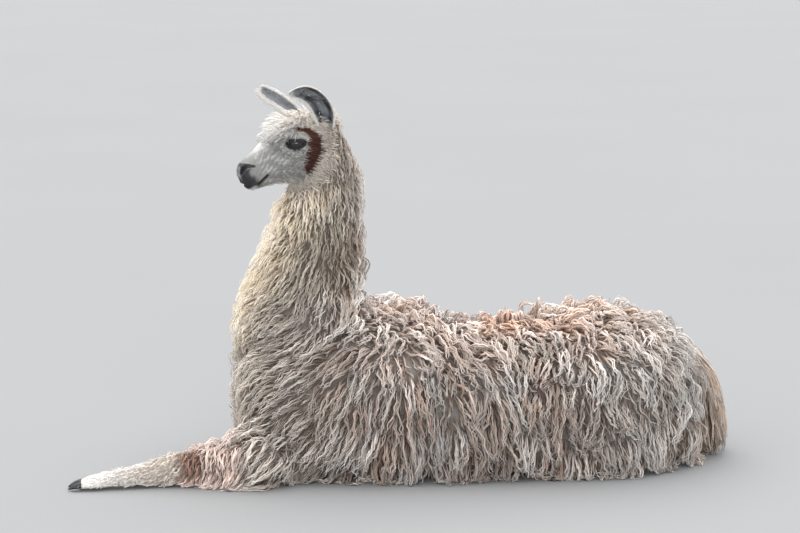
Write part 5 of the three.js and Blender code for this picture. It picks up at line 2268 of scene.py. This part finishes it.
    def ear_strands(self, ear: Ear, rng: np.random.Generator) -> tuple[Strands, Array]:
        """All hair of one ear, with its colours."""
        rows, columns = 60, 41
        tip, rim = rows - 1, columns - 1
        points, normals, along, across = ear.grid(rows, columns)
        count = int(EAR_HAIRS * self.share)
        row = rng.integers(0, tip - 1, count)
        column = rng.integers(0, columns, count)
        edge = rng.uniform(size=count) < EDGE_SHARE
        column[edge] = np.where(rng.uniform(size=edge.sum()) < 0.6, 0, rim)
        nudge = rng.integers(0, 3, count)
        column = np.where(edge & (column == 0), nudge, np.where(edge, rim - nudge, column))
        outside = (rng.uniform(size=count) < 0.55) | edge
        face = np.where(outside, 1.0, -1.0)[:, None]
        root, normal = points[row, column], normals[row, column] * face
        forward = unit(points[np.minimum(row + 2, tip), column] - points[np.minimum(row, tip - 2), column])
        aside = unit(points[row, np.minimum(column + 1, rim)] - points[row, np.maximum(column - 1, 0)])
        share_along, share_across = along[row, column], across[row, column]
        fringe = np.where(share_across < 0, ear.fringes[0], ear.fringes[1]) * (1.15 - 0.35 * share_along)
        inner = np.where(outside, 6.0, 12.0) * (1.2 - 0.6 * share_along)
        length = np.where(edge, fringe, inner) * rng.uniform(0.5, 1.15, count)
        fan = np.where(edge, 0.35, np.where(outside, 0.1, -0.3))
        fan = fan[:, None] * np.sign(share_across)[:, None] * aside
        splay = rng.uniform(0.2, 0.7, count) + 0.035 * (fringe - 8.0)
        lean = np.where(edge, splay, rng.uniform(0.05, 0.28, count))[:, None]
        aim = unit(forward + fan + normal * lean + rng.normal(0, 0.12, (count, 3)))
        step = np.linspace(0, 1, 4)
        lines = root[:, None] + normal[:, None] * 0.8 + aim[:, None] * (length[:, None] * step)[..., None]
        lines = lines - normal[:, None] * (length[:, None] * 0.15 * step**2)[..., None]
        lines = lines - HEAD_TURN[2] * (length[:, None] * 0.30 * step**2)[..., None]
        flat = head_to_world(lines.reshape(-1, 3)).reshape(count, 4, 3)
        up = np.repeat((normal @ HEAD_TURN.T)[:, None], 4, axis=1)
        radius = rng.uniform(0.30, 0.56, count) * MM
        tints = self.markings.ear(outside.astype(float), share_across, share_along, ear.dark)
        pale = edge | (~outside & (rng.uniform(size=count) < 0.16))
        tints[pale] = linear(Shade.WHITE.value)
        lot = rng.uniform(0.45, 1, size=count) * np.where(edge, 1.0, 0.6)
        return Strands(flat, up, radius, length * MM, flat[:, 0], lot, np.zeros((count, 4))), tints


@dataclass
class Studio:
    """The camera, floor and lights."""

    aim_from: Place = (-0.469, -5.280, 1.55)
    aim_at: Place = (-0.2, 0.0, 0.7)
    yaw: float = -5.0
    pitch: float = 10.96
    lens: float = 92.25
    film: float = 36.0
    floor_size: float = 60.0
    lamp_spread: float = 90.0
    low_sky: Place = (0.68, 0.69, 0.70)
    high_sky: Place = (1.30, 1.35, 1.45)

    def camera(self) -> None:
        """A level camera in front of the animal's left side."""
        data = bpy.data.cameras.new("view")
        data.lens = self.lens
        data.sensor_width = self.film
        camera = into_scene("view", data)
        camera.location = self.aim_from
        camera.rotation_euler = (math.radians(90 - self.pitch), 0.0, math.radians(self.yaw))
        bpy.context.scene.camera = camera

    def floor(self) -> None:
        """A wide plain floor."""
        half = self.floor_size / 2
        corners = np.array([[-1, -1, 0], [1, -1, 0], [1, 1, 0], [-1, 1, 0]]) * half
        mesh = Surface(corners, [np.array([[0, 1, 2, 3]])]).to_mesh("floor")
        mesh.materials.append(FloorFinish().build())
        into_scene("floor", mesh)

    def lamp(self, name: str, at: Place, size: tuple[float, float], power: float) -> None:
        """A long soft lamp that faces the animal and gives its eyes their light."""
        data = bpy.data.lights.new(name, "AREA")
        data.shape = "RECTANGLE"
        data.size, data.size_y = size
        data.energy = power
        data.spread = math.radians(self.lamp_spread)
        lamp = into_scene(name, data)
        lamp.location = at
        lamp.rotation_euler = (Vector(self.aim_at) - Vector(at)).to_track_quat("-Z", "Y").to_euler()
        lamp.visible_camera = False

    def sun(self, name: str, to: Place, spread: float, strength: float, warm: float) -> None:
        """Soft daylight that falls the same on the whole floor, from a direction."""
        data = bpy.data.lights.new(name, "SUN")
        data.angle = math.radians(spread)
        data.energy = strength
        data.color = (1.0, 1.0 - 0.04 * warm, 1.0 - 0.09 * warm)
        into_scene(name, data).rotation_euler = Vector(to).to_track_quat("Z", "Y").to_euler()

    def light(self) -> None:
        """Soft daylight from above and behind, some from ahead, and a lamp in front for the eyes."""
        self.sun("overhead", to=(0.05, 0.30, 1.0), spread=80.0, strength=3.4, warm=0.4)
        self.sun("ahead", to=(-1.0, -0.25, 0.45), spread=70.0, strength=0.75, warm=0.6)
        self.lamp("window", at=(-0.3, -6.2, 1.95), size=(3.4, 1.3), power=30.0)
        world = bpy.data.worlds.new("studio_air")
        world.use_nodes = True
        bench = Bench(world.node_tree)
        way = bench.add("ShaderNodeSeparateXYZ", {0: bench.add("ShaderNodeTexCoord").outputs["Generated"]})
        height = bench.span(way.outputs[2], 0.0, 0.6, 0.0, 1.0)
        sky = bench.blend(height, self.low_sky, self.high_sky)
        bench.feed(world.node_tree.nodes["Background"], {0: sky})
        bpy.context.scene.world = world
        bpy.context.scene.view_settings.view_transform = "Standard"

    def build(self) -> None:
        """Sets the studio up."""
        self.camera()
        self.floor()
        self.light()


def main() -> None:
    """Builds the animal and its studio."""
    logging.basicConfig(level=logging.INFO, format="%(message)s")
    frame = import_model()
    Studio().build()
    markings = Markings()
    fibre, fur = wool_group(), fur_group()
    wool = WoolFinish("wool_finish", fibre).build()
    hair = WoolFinish("hair_finish", fibre, 0.12, 0.10, sheen=0.08, relief=0.2 * MM).build()
    down = WoolFinish("down_finish", fibre, root_shade=0.45, tip_pale=0.75).build()
    skin = Skin()
    skin_mesh = skin.build()
    skin.dress(markings)
    hide = Hide(skin_mesh, skin.bare_points)
    place(skin_mesh, "skin", "face_hair", HideFinish("hide_finish", fur).build(), FLESH)
    Eyes().build(EyeFinish().build(), hair, np.random.default_rng(SEED))
    Nails().build(NailFinish().build(), frame["nodes"])
    Coat(hide, markings, wool, hair, down).build()


if __name__ == "__main__":
    main()
